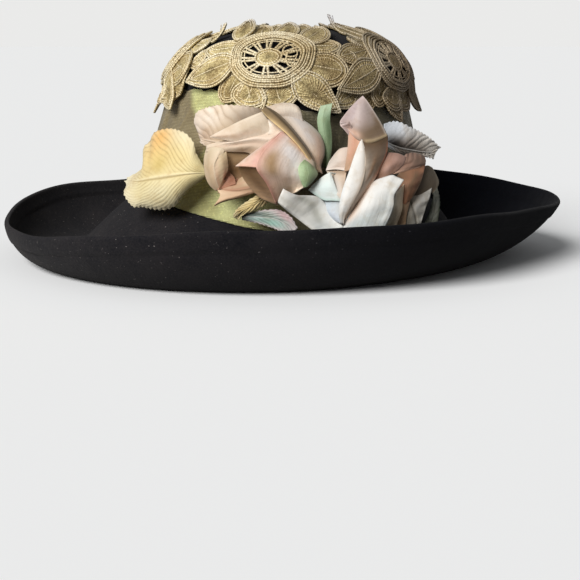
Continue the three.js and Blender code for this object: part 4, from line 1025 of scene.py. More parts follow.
# Each petal has four sides, foot, right, tip and left, and the tones of its four corners in that order. A
# mark goes from one u and v to another, and then come its width, its rise, its colour and its strength.
# Tones and marks give the silk's own tints and also painted light and shade: painted highlights where a
# petal faces the light, and painted shade in hollows, along creases, under other petals and on sides
# turned away from the light.
LEFT_HEART = (252, 166, -107)
LEFT_ROSE = [
    # the big outer petal at the upper right, and the lobe that folds over it, both with painted shade
    # near the rolled edge
    dict(
        sides=[
            [(314, 168, -115)],
            [(322.5, 174, -117), (321, 166, -113), (324, 156, -110.5), (324.3, 146, -108.5),
             (320.8, 136, -107.5), (313.5, 127.5, -107)],
            [(302, 119, -107), (290, 114, -109)],
            [(278, 112, -111), (290, 133, -116), (303, 152, -117)],
        ],
        tones=[(240, 210, 176), (244, 218, 192), (216, 212, 204), (226, 212, 198)],
        marks=[(0.75, 0.15, 0.8, 0.5, 0.18, 0, (226, 190, 165), 0.7),
            (0.55, 0.6, 0.6, 0.9, 0.2, 0, (232, 224, 220), 0.8),
            (0.1, 0.1, 0.1, 0.8, 0.12, 0, (185, 158, 125), 0.5)],
        curl={"right": 1.5}, dome=3, root="left",
    ),
    dict(
        sides=[
            [(270, 119, -114), (287, 119, -111)],
            [(303, 122, -109), (302, 116, -107.5)],
            [(300.5, 110.5, -107), (297, 106, -106.5), (290, 103.3, -106), (279, 103.6, -107)],
            [(264, 108, -110.5)],
        ],
        tones=[(205, 182, 155), (226, 214, 204), (232, 222, 210), (222, 200, 175)],
        marks=[(0.5, 0.75, 0.8, 0.7, 0.25, 0.5, (240, 228, 212), 0.8),
            (0.0, 0.0, 1.0, 0.0, 0.06, 0, (190, 160, 135), 0.5)],
        curl={"tip": 1.0}, dome=2, root="left",
    ),
    dict(
        sides=[
            [(268, 134, -121)],
            [(284, 137.5, -121), (285, 131, -120)],
            [(277, 121, -118.5)],
            [(267.8, 119.5, -118.5), (269.5, 128, -120.3)],
        ],
        tones=[(246, 232, 216), (226, 196, 160), (240, 222, 206), (246, 236, 222)],
        dome=0.5, root="right",
    ),
    # the cream petal that points to the upper left, and the fold under it, with a painted highlight
    # along the fold's ridge and painted shade below it
    dict(
        sides=[
            [(209.5, 137, -115), (235, 141.5, -118.3), (247, 138.5, -119.2)],
            [(274, 134.5, -119.6), (272.5, 126, -118.8)],
            [(262.5, 111.5, -118), (240, 121, -116)],
            [(214, 134.5, -115)],
        ],
        tones=[(238, 220, 200), (216, 202, 182), (218, 202, 180), (240, 222, 202)],
        marks=[(0.15, 0.3, 0.6, 0.25, 0.16, 0, (222, 196, 172), 0.8),
            (0.55, 0.6, 0.8, 0.55, 0.16, 0, (212, 194, 168), 0.6),
            (0.1, 0.95, 0.9, 0.95, 0.05, 0.2, (240, 226, 205), 0.7),
            (0.05, 0.05, 0.95, 0.05, 0.07, 0, (238, 220, 200), 0.6)],
        dome=2.5, root="right",
    ),
    dict(
        sides=[
            [(206, 152, -112), (216, 150, -114.5), (226, 151.5, -116.5), (247, 152.5, -118),
             (254, 157, -120)],
            [(262, 155, -123), (274, 143, -124)],
            [(284, 131, -122), (262, 132, -118.5), (235, 138, -115)],
            [(206.5, 145, -112)],
        ],
        tones=[(218, 200, 174), (190, 160, 134), (234, 214, 194), (232, 214, 192)],
        marks=[(0.3, 0.72, 0.95, 0.72, 0.09, 1.0, (240, 222, 204), 0.9),
            (0.45, 0.45, 0.95, 0.5, 0.1, -0.6, (216, 190, 168), 0.8),
            (0.15, 0.4, 0.4, 0.5, 0.12, 0, (216, 188, 166), 0.6),
            (0.6, 0.1, 0.9, 0.2, 0.12, 0, (196, 168, 140), 0.7)],
        dome=1.5, root="right",
    ),
    # petals round the hollow at the left, browned with painted shade in the hollow, with painted
    # shadow lines under their edges
    dict(
        sides=[
            [(225, 186, -112)],
            [(250, 181, -114), (252, 165, -116)],
            [(256, 149, -117)],
            [(222, 148, -115)],
        ],
        tones=[(160, 124, 88), (120, 88, 58), (172, 142, 104), (180, 150, 110)],
        marks=[(0.45, 0.4, 0.75, 0.45, 0.25, 0, (124, 92, 56), 0.9)],
        dome=-1,
    ),
    dict(
        sides=[
            [(216, 191, -113)],
            [(222, 188, -116.5), (219, 175, -118), (219, 163, -117.5)],
            [(226, 148, -116.5), (214, 147, -115)],
            [(205.5, 150, -111), (203.8, 161, -109.5), (205.5, 176, -110.5), (209.5, 185, -112)],
        ],
        tones=[(228, 198, 164), (214, 184, 150), (230, 214, 188), (222, 206, 178)],
        marks=[(0.35, 0.3, 0.35, 0.8, 0.15, 0, (200, 178, 144), 0.5),
            (0.8, 0.2, 0.8, 0.8, 0.12, 0.5, (236, 218, 194), 0.7)],
        dome=2, root="left",
    ),
    dict(
        sides=[
            [(219, 189, -117.5)],
            [(223.5, 180, -119), (228, 168, -119)],
            [(226.3, 151.5, -117.5)],
            [(217.5, 156.5, -120), (213.6, 166, -121), (215.5, 180, -119.5)],
        ],
        tones=[(216, 170, 138), (196, 160, 126), (212, 190, 152), (236, 218, 190)],
        marks=[(0.5, 0.2, 0.5, 0.8, 0.2, 0, (216, 196, 160), 0.6),
            (0.0, 0.1, 0.0, 0.95, 0.09, 0.4, (234, 216, 188), 0.9),
            (0.9, 0.0, 0.8, 0.3, 0.15, 0, (178, 124, 98), 0.8)],
        dome=1.5,
    ),
    dict(
        sides=[
            [(217.5, 190, -117)],
            [(236, 184, -117.5), (234.5, 178, -116)],
            [(228, 170, -114)],
            [(224.5, 171.5, -114.5)],
        ],
        tones=[(215, 160, 132), (176, 124, 98), (150, 112, 84), (170, 120, 92)],
        marks=[(0.3, 0.5, 0.7, 0.4, 0.2, 0, (186, 130, 106), 0.7)],
        dome=1,
    ),
    dict(
        sides=[
            [(217.5, 192.5, -119), (236, 193, -120.5)],
            [(261, 191, -121.5)],
            [(245, 175.5, -115), (239, 180, -114.5)],
            [(229, 184.5, -115)],
        ],
        tones=[(206, 166, 138), (182, 156, 122), (206, 184, 150), (190, 150, 124)],
        marks=[(0.1, 0.25, 0.9, 0.3, 0.1, 0.8, (186, 138, 110), 0.8),
            (0.3, 0.65, 0.8, 0.7, 0.1, -0.4, (206, 164, 134), 0.6),
            (0.8, 0.6, 0.95, 0.3, 0.12, 0, (216, 190, 158), 0.7)],
        dome=1.5, root="tip",
    ),
    dict(
        sides=[
            [(214, 206, -121), (224, 201.5, -121.5), (238, 198, -121.5)],
            [(257, 192, -121.5)],
            [(254, 189.5, -120.5), (238, 191, -120)],
            [(217.5, 190, -119), (220, 196, -120.5)],
        ],
        tones=[(226, 196, 158), (150, 112, 82), (196, 158, 128), (232, 202, 170)],
        marks=[(0.1, 0.2, 0.5, 0.5, 0.16, 0, (222, 186, 150), 0.7),
            (0.05, 0.0, 1, 0.0, 0.09, 0, (120, 88, 60), 0.8)],
        curl={"foot": 1.0}, dome=1.0, root="right",
    ),
    # the facet under the pink corner, browned with painted shade
    dict(
        sides=[
            [(262, 199, -125)],
            [(278, 205, -127), (268, 186, -134)],
            [(258.5, 168, -138.5)],
            [(238, 167, -131), (243, 178, -129), (252, 190, -127)],
        ],
        tones=[(204, 170, 136), (192, 154, 122), (146, 112, 76), (140, 108, 72)],
        marks=[(0.5, 0.75, 0.7, 0.5, 0.2, 0, (134, 100, 66), 0.7),
            (0.25, 0.3, 0.35, 0.1, 0.15, 0, (190, 156, 120), 0.7)],
        dome=-1.5,
    ),
    # the round body of the flower, with its two pink creases and an olive-brown stain, a painted
    # highlight near its top and painted shade along its right edge beside the bud
    dict(
        sides=[
            [(276, 204, -127), (284, 196.5, -126), (291, 194.5, -124.5)],
            [(297, 191.5, -130), (304.5, 187, -129), (311.5, 181, -127), (316, 172, -124)],
            [(315, 163, -121), (301, 148, -123.5), (291, 138.5, -124.5)],
            [(282, 131.5, -125.5), (271, 142, -132.2), (260.5, 154, -138.2), (256, 167.5, -140.4),
             (266.5, 184, -134.5)],
        ],
        tones=[(246, 206, 180), (255, 240, 218), (248, 228, 206), (244, 214, 200)],
        marks=[(0.36, 0.86, 0.72, 0.58, 0.2, 0, (255, 250, 248), 0.95),
            (0.2, 0.62, 0.27, 0.5, 0.13, 0, (176, 142, 96), 0.85),
            (0.0, 0.02, 0.0, 0.42, 0.07, 0.6, (226, 164, 144), 0.9),
            (0.0, 0.55, 0.0, 1.0, 0.09, 0, (230, 180, 164), 0.85),
            (0.35, 0.08, 0.75, 0.15, 0.14, 0, (246, 226, 200), 0.7),
            (0.97, 0.4, 1.0, 0.98, 0.1, 0, (112, 108, 80), 0.85),
            (0.3, 0.98, 0.8, 0.98, 0.06, 0, (236, 196, 150), 0.8)],
        dome=3.5, root="right",
    ),
    dict(
        sides=[
            [(235.5, 166.3, -133), (245, 166.5, -137)],
            [(256, 167.5, -140.4), (260.5, 154, -138.2), (271, 142, -132.2)],
            [(282, 131.5, -125.5)],
            [(279.5, 132.5, -126), (262, 146, -129.5), (248, 156.5, -131.5)],
        ],
        tones=[(234, 202, 182), (226, 188, 170), (226, 180, 160), (240, 214, 196)],
        marks=[(0.12, 0.02, 0.1, 0.95, 0.15, 0, (240, 218, 202), 0.85),
            (0.85, 0.02, 0.9, 0.95, 0.15, -0.2, (228, 182, 168), 0.9),
            (0.2, 0.0, 1, 0.0, 0.05, 0, (232, 184, 160), 0.7)],
        dome=1.5, root="tip",
    ),
    # the rolled edge, seen from behind, that runs down across the outer petals
    dict(
        sides=[
            [(311, 163.5, -123.5)],
            [(320, 172, -119.5), (311, 153, -119), (296, 132.5, -118.5), (281, 116, -118.5)],
            [(270, 108.3, -118), (265, 107.3, -119)],
            [(261.3, 110.5, -120.5), (269.5, 119.3, -122.5), (286.5, 133.8, -125.5),
             (300.3, 148.6, -125.5)],
        ],
        tones=[(244, 214, 170), (206, 180, 150), (104, 92, 70), (190, 160, 116)],
        marks=[(0.5, 0.3, 0.5, 0.9, 0.3, 0, (150, 124, 88), 0.7),
            (0.0, 0.02, 0.0, 0.88, 0.17, 0.2, (252, 222, 166), 1.0),
            (0.72, 0.2, 0.62, 1.0, 0.16, 0.3, (96, 80, 58), 0.95),
            (0.98, 0.15, 0.98, 0.8, 0.1, 0, (150, 132, 112), 0.8),
            (0.1, 0.95, 0.35, 1.0, 0.14, 0, (120, 100, 70), 0.8)],
        dome=0.8, root="foot",
    ),
]

RIGHT_HEART = (372, 182, -103)
RIGHT_ROSE = [
    # back petals at the right, browned and greyed with painted shade, as the rose is lit from the left
    dict(
        sides=[
            [(414, 200, -105)],
            [(434, 192, -97), (438.5, 184, -92), (437, 176.5, -91)],
            [(432, 167.5, -92.5), (427, 165.5, -96)],
            [(421, 168, -103), (419, 184, -105.5)],
        ],
        tones=[(92, 78, 62), (120, 106, 88), (104, 92, 74), (96, 82, 66)],
        marks=[(0.5, 0.3, 0.6, 0.8, 0.2, 0, (112, 98, 80), 0.6),
            (0.95, 0.2, 1, 0.8, 0.07, 0, (150, 138, 118), 0.6)],
        dome=2, root="left",
    ),
    dict(
        sides=[
            [(404, 228, -113), (411, 227, -110.5)],
            [(420, 226, -107.5), (425.8, 207, -103.5), (429.6, 197, -100.5)],
            [(432, 186.5, -97.5), (418, 193.5, -103.5)],
            [(408, 200, -109), (406, 213, -111.5)],
        ],
        tones=[(150, 145, 130), (200, 198, 190), (214, 210, 202), (140, 124, 104)],
        marks=[(0.12, 0.85, 0.75, 0.05, 0.05, -1.2, (120, 112, 96), 0.8),
            (0.55, 0.6, 0.75, 0.75, 0.18, 0.4, (208, 206, 202), 0.8),
            (0.95, 0.1, 0.95, 0.9, 0.06, 0, (222, 220, 214), 0.7)],
        ruffle={"right": 0.8}, dome=2, root="left",
    ),
    dict(
        sides=[
            [(389, 229, -116)],
            [(405, 227, -114.5), (407, 213, -113)],
            [(411, 197, -111.5)],
            [(401, 198, -114.5), (398.5, 212, -116.5)],
        ],
        tones=[(204, 184, 160), (176, 146, 114), (196, 156, 124), (190, 158, 126)],
        marks=[(0.4, 0.7, 0.5, 0.2, 0.2, 0, (176, 146, 114), 0.6)],
        dome=1,
    ),
    # orange and mauve petals at the upper right, darkened with painted shade on the side away from
    # the light
    dict(
        sides=[
            [(403.5, 206, -115)],
            [(412, 198, -112), (418.5, 186.5, -109), (422.8, 175, -106.5)],
            [(425.5, 163, -104), (416, 167, -108)],
            [(399, 173, -115), (404, 180, -114.5), (401.5, 192, -115)],
        ],
        tones=[(196, 138, 104), (112, 90, 68), (180, 120, 90), (128, 100, 76)],
        marks=[(0.85, 0.75, 0.9, 1.0, 0.14, 0, (176, 128, 98), 0.7),
            (0.3, 0.08, 0.4, 0.28, 0.12, 0.5, (204, 146, 112), 0.7),
            (0.45, 0.5, 0.6, 0.75, 0.18, 0, (116, 94, 72), 0.8),
            (0.95, 0.15, 0.98, 0.6, 0.07, 0, (176, 146, 116), 0.6)],
        ruffle={"right": 0.6}, dome=3, root="left",
    ),
    dict(
        sides=[
            [(392, 174.5, -116.5), (404, 171.5, -113)],
            [(420, 167, -107), (425.5, 162.5, -104.5)],
            [(424.5, 156, -103), (414, 152.8, -105)],
            [(406.5, 153.8, -108), (404, 163, -112)],
        ],
        tones=[(176, 138, 118), (132, 104, 88), (112, 92, 82), (136, 108, 94)],
        marks=[(0.1, 0.05, 0.9, 0.03, 0.1, 0.3, (216, 178, 156), 0.8),
            (0.5, 0.6, 0.8, 0.6, 0.2, 0, (120, 98, 84), 0.7),
            (0.15, 0.5, 0.3, 0.5, 0.12, -0.6, (140, 104, 86), 0.6)],
        ruffle={"tip": 0.8}, dome=1.5, root="left",
    ),
    dict(
        sides=[
            [(374, 180.5, -121.5), (384, 177.5, -119)],
            [(395, 172, -116.5), (403.5, 164, -112.5)],
            [(406, 157, -110), (398, 153.5, -110.5)],
            [(386.5, 152.5, -112), (380.5, 165, -117.5)],
        ],
        tones=[(196, 150, 124), (176, 138, 120), (146, 118, 108), (156, 120, 106)],
        marks=[(0.45, 0.35, 0.55, 0.75, 0.2, 0.4, (186, 150, 136), 0.85),
            (0.0, 0.1, 0.0, 0.9, 0.08, 0, (160, 112, 88), 0.7),
            (0.2, 0.02, 0.9, 0.05, 0.06, 0, (222, 178, 156), 0.7)],
        dome=2, root="left",
    ),
    # pale petals behind the fold at the left
    dict(
        sides=[
            [(326, 170.5, -117), (336, 169.5, -120)],
            [(346, 171, -122), (347, 160, -120.5)],
            [(349, 147, -117), (341, 148.5, -115.5), (336, 152.5, -114.5)],
            [(329.3, 161.5, -114.5)],
        ],
        tones=[(236, 226, 218), (226, 202, 184), (222, 204, 190), (230, 222, 214)],
        marks=[(0.3, 0.6, 0.5, 0.5, 0.2, 0.6, (208, 198, 188), 0.7),
            (0.05, 0.0, 0.9, 0.0, 0.08, 0.5, (236, 226, 216), 0.8)],
        dome=2, root="tip",
    ),
    dict(
        sides=[
            [(337, 195, -128.5)],
            [(342, 200, -131), (344.5, 186, -127)],
            [(346.5, 171.5, -122.5), (337, 170.5, -119.5)],
            [(326.5, 171, -116.5), (331, 181, -121)],
        ],
        tones=[(224, 216, 210), (226, 214, 200), (216, 190, 166), (208, 196, 180)],
        marks=[(0.2, 0.92, 0.9, 0.95, 0.08, -0.5, (158, 132, 106), 0.7),
            (0.4, 0.5, 0.5, 0.3, 0.2, 0, (206, 198, 190), 0.7)],
        dome=1.5, root="tip",
    ),
    # the tongue that lies over the brim, and the two bluish petals above it, with painted shadows
    # along their creases
    dict(
        sides=[
            [(279, 203.5, -136), (289, 212, -134), (303, 223, -132)],
            [(315, 232, -131.5), (330, 231.5, -131)],
            [(344, 228, -130.5), (335, 217, -127.5), (324, 202.5, -125), (317, 196.7, -127),
             (308, 195.5, -130), (297, 195, -135), (289, 191.8, -138)],
            [(283, 188.6, -139.5), (278.3, 200, -138)],
        ],
        tones=[(236, 234, 228), (232, 232, 226), (236, 238, 236), (242, 240, 236)],
        marks=[(0.35, 0.8, 0.8, 0.5, 0.13, -0.6, (190, 190, 180), 0.8),
            (0.05, 0.1, 0.85, 0.08, 0.1, 0.5, (244, 244, 240), 0.8),
            (0.15, 0.5, 0.35, 0.4, 0.16, 0.2, (208, 206, 196), 0.6),
            (0.9, 0.3, 0.95, 0.6, 0.14, 0, (206, 212, 212), 0.7)],
        curl={"left": 1.5}, dome=2, root="right",
    ),
    dict(
        sides=[
            [(333, 220.5, -127.5)],
            [(343, 224, -132), (340, 212, -131)],
            [(342, 200.5, -128.5), (332, 200, -126)],
            [(322.5, 199.5, -122.5), (323.6, 209, -124), (328, 216.5, -126)],
        ],
        tones=[(208, 218, 228), (228, 232, 234), (200, 208, 214), (190, 200, 208)],
        marks=[(0.5, 0.4, 0.6, 0.2, 0.22, 0.4, (214, 222, 234), 0.8),
            (0.1, 0.95, 0.9, 0.95, 0.08, -0.5, (160, 168, 170), 0.7)],
        dome=1.5, root="tip",
    ),
    dict(
        sides=[
            [(308, 190, -122.5), (323, 199.8, -125.5), (332, 200.8, -127.5)],
            [(342, 201.5, -129.5), (336, 187, -127)],
            [(330.5, 172.5, -123.5)],
            [(328.5, 173, -123.5), (321, 178, -122.5), (314, 184, -122.2)],
        ],
        tones=[(232, 240, 238), (220, 230, 230), (230, 236, 232), (228, 234, 230)],
        marks=[(0.35, 0.35, 0.55, 0.5, 0.2, 0.3, (222, 236, 234), 0.8),
            (0.15, 0.03, 0.95, 0.03, 0.06, 0, (200, 222, 216), 0.8),
            (1.0, 0.05, 1.0, 0.9, 0.05, 0, (196, 200, 192), 0.7)],
        dome=1.5, root="tip",
    ),
    # the wide white petal at the lower right and its turned edge, with painted shade on the turned
    # edge, where the white petal shadows it, and along the white petal's left edge
    dict(
        sides=[
            [(383, 228, -125)],
            [(396, 226, -121.5), (401.5, 211, -119.5), (402.5, 200, -118)],
            [(404, 184, -115.5)],
            [(396, 192, -121.5), (394, 205, -124), (391, 214, -124.5)],
        ],
        tones=[(232, 226, 208), (218, 198, 168), (236, 212, 180), (240, 234, 222)],
        marks=[(0.4, 0.3, 0.4, 0.8, 0.2, 0, (236, 222, 198), 0.7)],
        dome=1, root="left",
    ),
    dict(
        sides=[
            [(343, 229, -133.5), (362, 230, -133.5)],
            [(384.5, 228, -132), (391, 214, -131.5), (393.8, 205, -131), (394.5, 195, -129),
             (399, 187.3, -126)],
            [(404, 180, -122), (396.5, 177, -122), (392, 175.2, -122), (383.5, 177.5, -123.3),
             (375, 180.8, -125)],
            [(367.8, 187.8, -127), (360, 201, -131), (350, 216, -133)],
        ],
        tones=[(240, 244, 244), (234, 242, 242), (240, 240, 236), (234, 224, 216)],
        marks=[(0.0, 0.3, 0.02, 0.95, 0.17, 0, (230, 202, 178), 0.9),
            (0.45, 0.55, 0.6, 0.85, 0.24, 0.3, (240, 240, 238), 0.8),
            (0.2, 0.1, 0.5, 0.2, 0.12, 0, (222, 236, 238), 0.5),
            (0.9, 0.15, 0.97, 0.75, 0.07, 0.3, (232, 234, 232), 0.7),
            (0.75, 0.25, 0.8, 0.45, 0.1, -0.2, (214, 220, 218), 0.5)],
        ruffle={"right": 0.5, "tip": 0.3}, dome=3, root="left",
    ),
    # the pointed hood, its curled corner, its peach lining and the tan petal under it: painted shade
    # browns the tan petal under the hood and the hood's lower right, and a painted highlight runs along
    # the hood's lower edge
    dict(
        sides=[
            [(344.5, 172, -123)],
            [(350, 170, -128), (355, 157, -127.5), (361, 145, -124.5)],
            [(361, 138.5, -121.5), (354, 132, -118)],
            [(348, 125.5, -116), (348.3, 137, -118), (347.5, 150, -120.5), (345.8, 162, -122.5)],
        ],
        tones=[(196, 164, 136), (206, 168, 140), (216, 170, 142), (212, 172, 150)],
        marks=[(0.45, 0.45, 0.5, 0.8, 0.25, 0, (204, 154, 128), 0.85),
            (0.1, 0.05, 0.6, 0.1, 0.15, 0, (190, 158, 130), 0.6)],
        dome=-1, root="tip",
    ),
    dict(
        sides=[
            [(344, 222, -133)],
            [(368, 188, -127.5), (375, 178.5, -124), (381.5, 164.5, -118.5), (387, 151, -114)],
            [(387.8, 135.5, -112.5), (374, 139, -118)],
            [(361, 138.5, -122), (364.3, 150, -125.8), (365, 162, -128.9), (362, 176, -132.4),
             (356.5, 190, -135.2), (349, 205, -136.4)],
        ],
        tones=[(240, 232, 222), (236, 206, 180), (92, 68, 44), (116, 90, 62)],
        marks=[(0.98, 0.3, 1.0, 0.85, 0.055, 0, (222, 142, 104), 0.95),
            (0.0, 0.1, 0.0, 0.6, 0.17, 0, (238, 220, 200), 0.95),
            (0.42, 0.5, 0.44, 0.66, 0.12, 0.4, (150, 116, 86), 0.85),
            (0.05, 0.97, 0.95, 0.97, 0.1, 0, (112, 88, 62), 0.8),
            (0.6, 0.7, 0.75, 0.5, 0.14, 0, (136, 106, 78), 0.6),
            (0.7, 0.25, 0.9, 0.4, 0.1, 0, (206, 152, 120), 0.7)],
        dome=1.5, root="tip",
    ),
    dict(
        sides=[
            [(340.5, 125.5, -119.5), (347, 128, -117.5), (353, 135, -119.5), (361, 140.5, -123.5),
             (373, 141, -120.5)],
            [(387.5, 135.5, -112), (382.5, 125.5, -110), (375.3, 113.5, -107.5), (367.5, 101.5, -104.5)],
            [(362.8, 95.8, -103), (359, 99, -103.5)],
            [(357, 101, -104), (350.5, 107.5, -107.5), (344, 115.5, -112), (340.2, 121, -116)],
        ],
        tones=[(222, 200, 196), (116, 94, 68), (206, 190, 188), (200, 182, 180)],
        marks=[(0.35, 0.4, 0.42, 0.75, 0.16, 0, (208, 194, 190), 0.8),
            (0.5, 0.08, 0.95, 0.3, 0.24, 0, (126, 104, 78), 0.9),
            (0.2, 0.06, 0.4, 0.12, 0.09, 0, (222, 184, 162), 0.7),
            (1.0, 0.05, 1.0, 0.9, 0.035, 0.3, (226, 214, 204), 0.8),
            (0.75, 0.4, 0.8, 0.75, 0.1, 0, (172, 156, 148), 0.6),
            (0.2, 0.45, 0.25, 0.8, 0.1, 0, (186, 170, 172), 0.6),
            (0.55, 0.0, 0.98, 0.0, 0.04, 0.3, (214, 190, 150), 0.8)],
        dome=1.8, root="foot",
    ),
    dict(
        sides=[
            [(341.5, 127, -119)],
            [(348.5, 128.8, -117)],
            [(349.5, 121.5, -119)],
            [(340.3, 122.5, -119.8)],
        ],
        tones=[(232, 212, 206), (226, 196, 182), (206, 184, 180), (214, 198, 196)],
        dome=0.6, root="right",
    ),
    # the white fold down the middle, with painted shade towards its right edge
    dict(
        sides=[
            [(340.5, 223.5, -134)],
            [(344, 224.5, -134.8), (345, 217, -136), (353, 202.5, -136.8), (360.5, 188, -135),
             (364.5, 174.5, -132), (366, 161.5, -128.8), (365, 150, -125.8)],
            [(362, 139.5, -123)],
            [(360.5, 140, -123), (354.3, 156, -127.5), (349, 172, -131.5), (343.5, 187, -134.8),
             (339.8, 202, -136), (338.8, 213, -135.8)],
        ],
        tones=[(224, 230, 234), (214, 206, 196), (230, 222, 212), (238, 236, 232)],
        marks=[(0.35, 0.2, 0.3, 0.9, 0.22, 0, (240, 239, 236), 0.9),
            (1.0, 0.1, 1.0, 0.75, 0.12, -0.3, (236, 218, 198), 0.9)],
        dome=1.2, root="foot",
    ),
]

rose_left = flower("silk_rose_left", LEFT_ROSE, LEFT_HEART, "silk_peach", "rose_left")
rose_right = flower("silk_rose_right", RIGHT_ROSE, RIGHT_HEART, "silk_white", "rose_right")

STAINED, LET_THROUGH = (0.84, 0.76, 0.66), 0.2


def silk(name, roughness, weave_strength, crumple_strength):
    """Stiffened silk: its own tones, a fine weave, soft crumples, and light let through from behind."""
    material, tree, shader = new_material(name, roughness, Sheen_Weight=0.2, Sheen_Roughness=0.4)
    where = attribute(tree, "cloth")
    colours = {"First": (1, 1, 1), "Second": STAINED}
    stain = use(tree, mottled, Place=own_place(tree), Scale=140.0, Low=0.5, High=0.8, **colours)
    base = tinted(tree, attribute(tree, "tone", "Color"), stain["Color"])
    weave = use(tree, woven, Place=where, Threads=0.9, Uneven=0.6)["Height"]
    # Creases are longer along the petal than across it.
    long_way = node(tree, "VectorMath", {"operation": "MULTIPLY"}, i0=where, i1=(0.06, 0.4, 1.0))
    creases = noise(tree, long_way.outputs[0], 1.0, 4.0, Roughness=0.6)
    fine = bump(tree, weave, weave_strength, 0.0002)
    long = bump(tree, creases, crumple_strength, 0.0025, Normal=fine)
    soft = bump(tree, stain["Cloud"], crumple_strength, 0.0016, Normal=long)
    dress(tree, shader, base, soft)
    glow = node(tree, "BsdfTranslucent", Color=base, Normal=soft)
    both = node(tree, "MixShader", i0=LET_THROUGH, i1=shader.outputs[0], i2=glow.outputs[0])
    tree.links.new(both.outputs[0], tree.nodes["Material Output"].inputs["Surface"])
    return material


petal_silk = silk("petal_silk", 0.6, 0.12, 0.18)
for rose in (rose_left, rose_right):
    rose.data.materials.append(petal_silk)


# The leaves. Cotton sateen is starched, pressed between hot moulds that
# leave a midrib and slanting veins, and cut out with a pinked edge; the
# narrow ones are plain ribbon-like strips. Each is dyed after pressing.

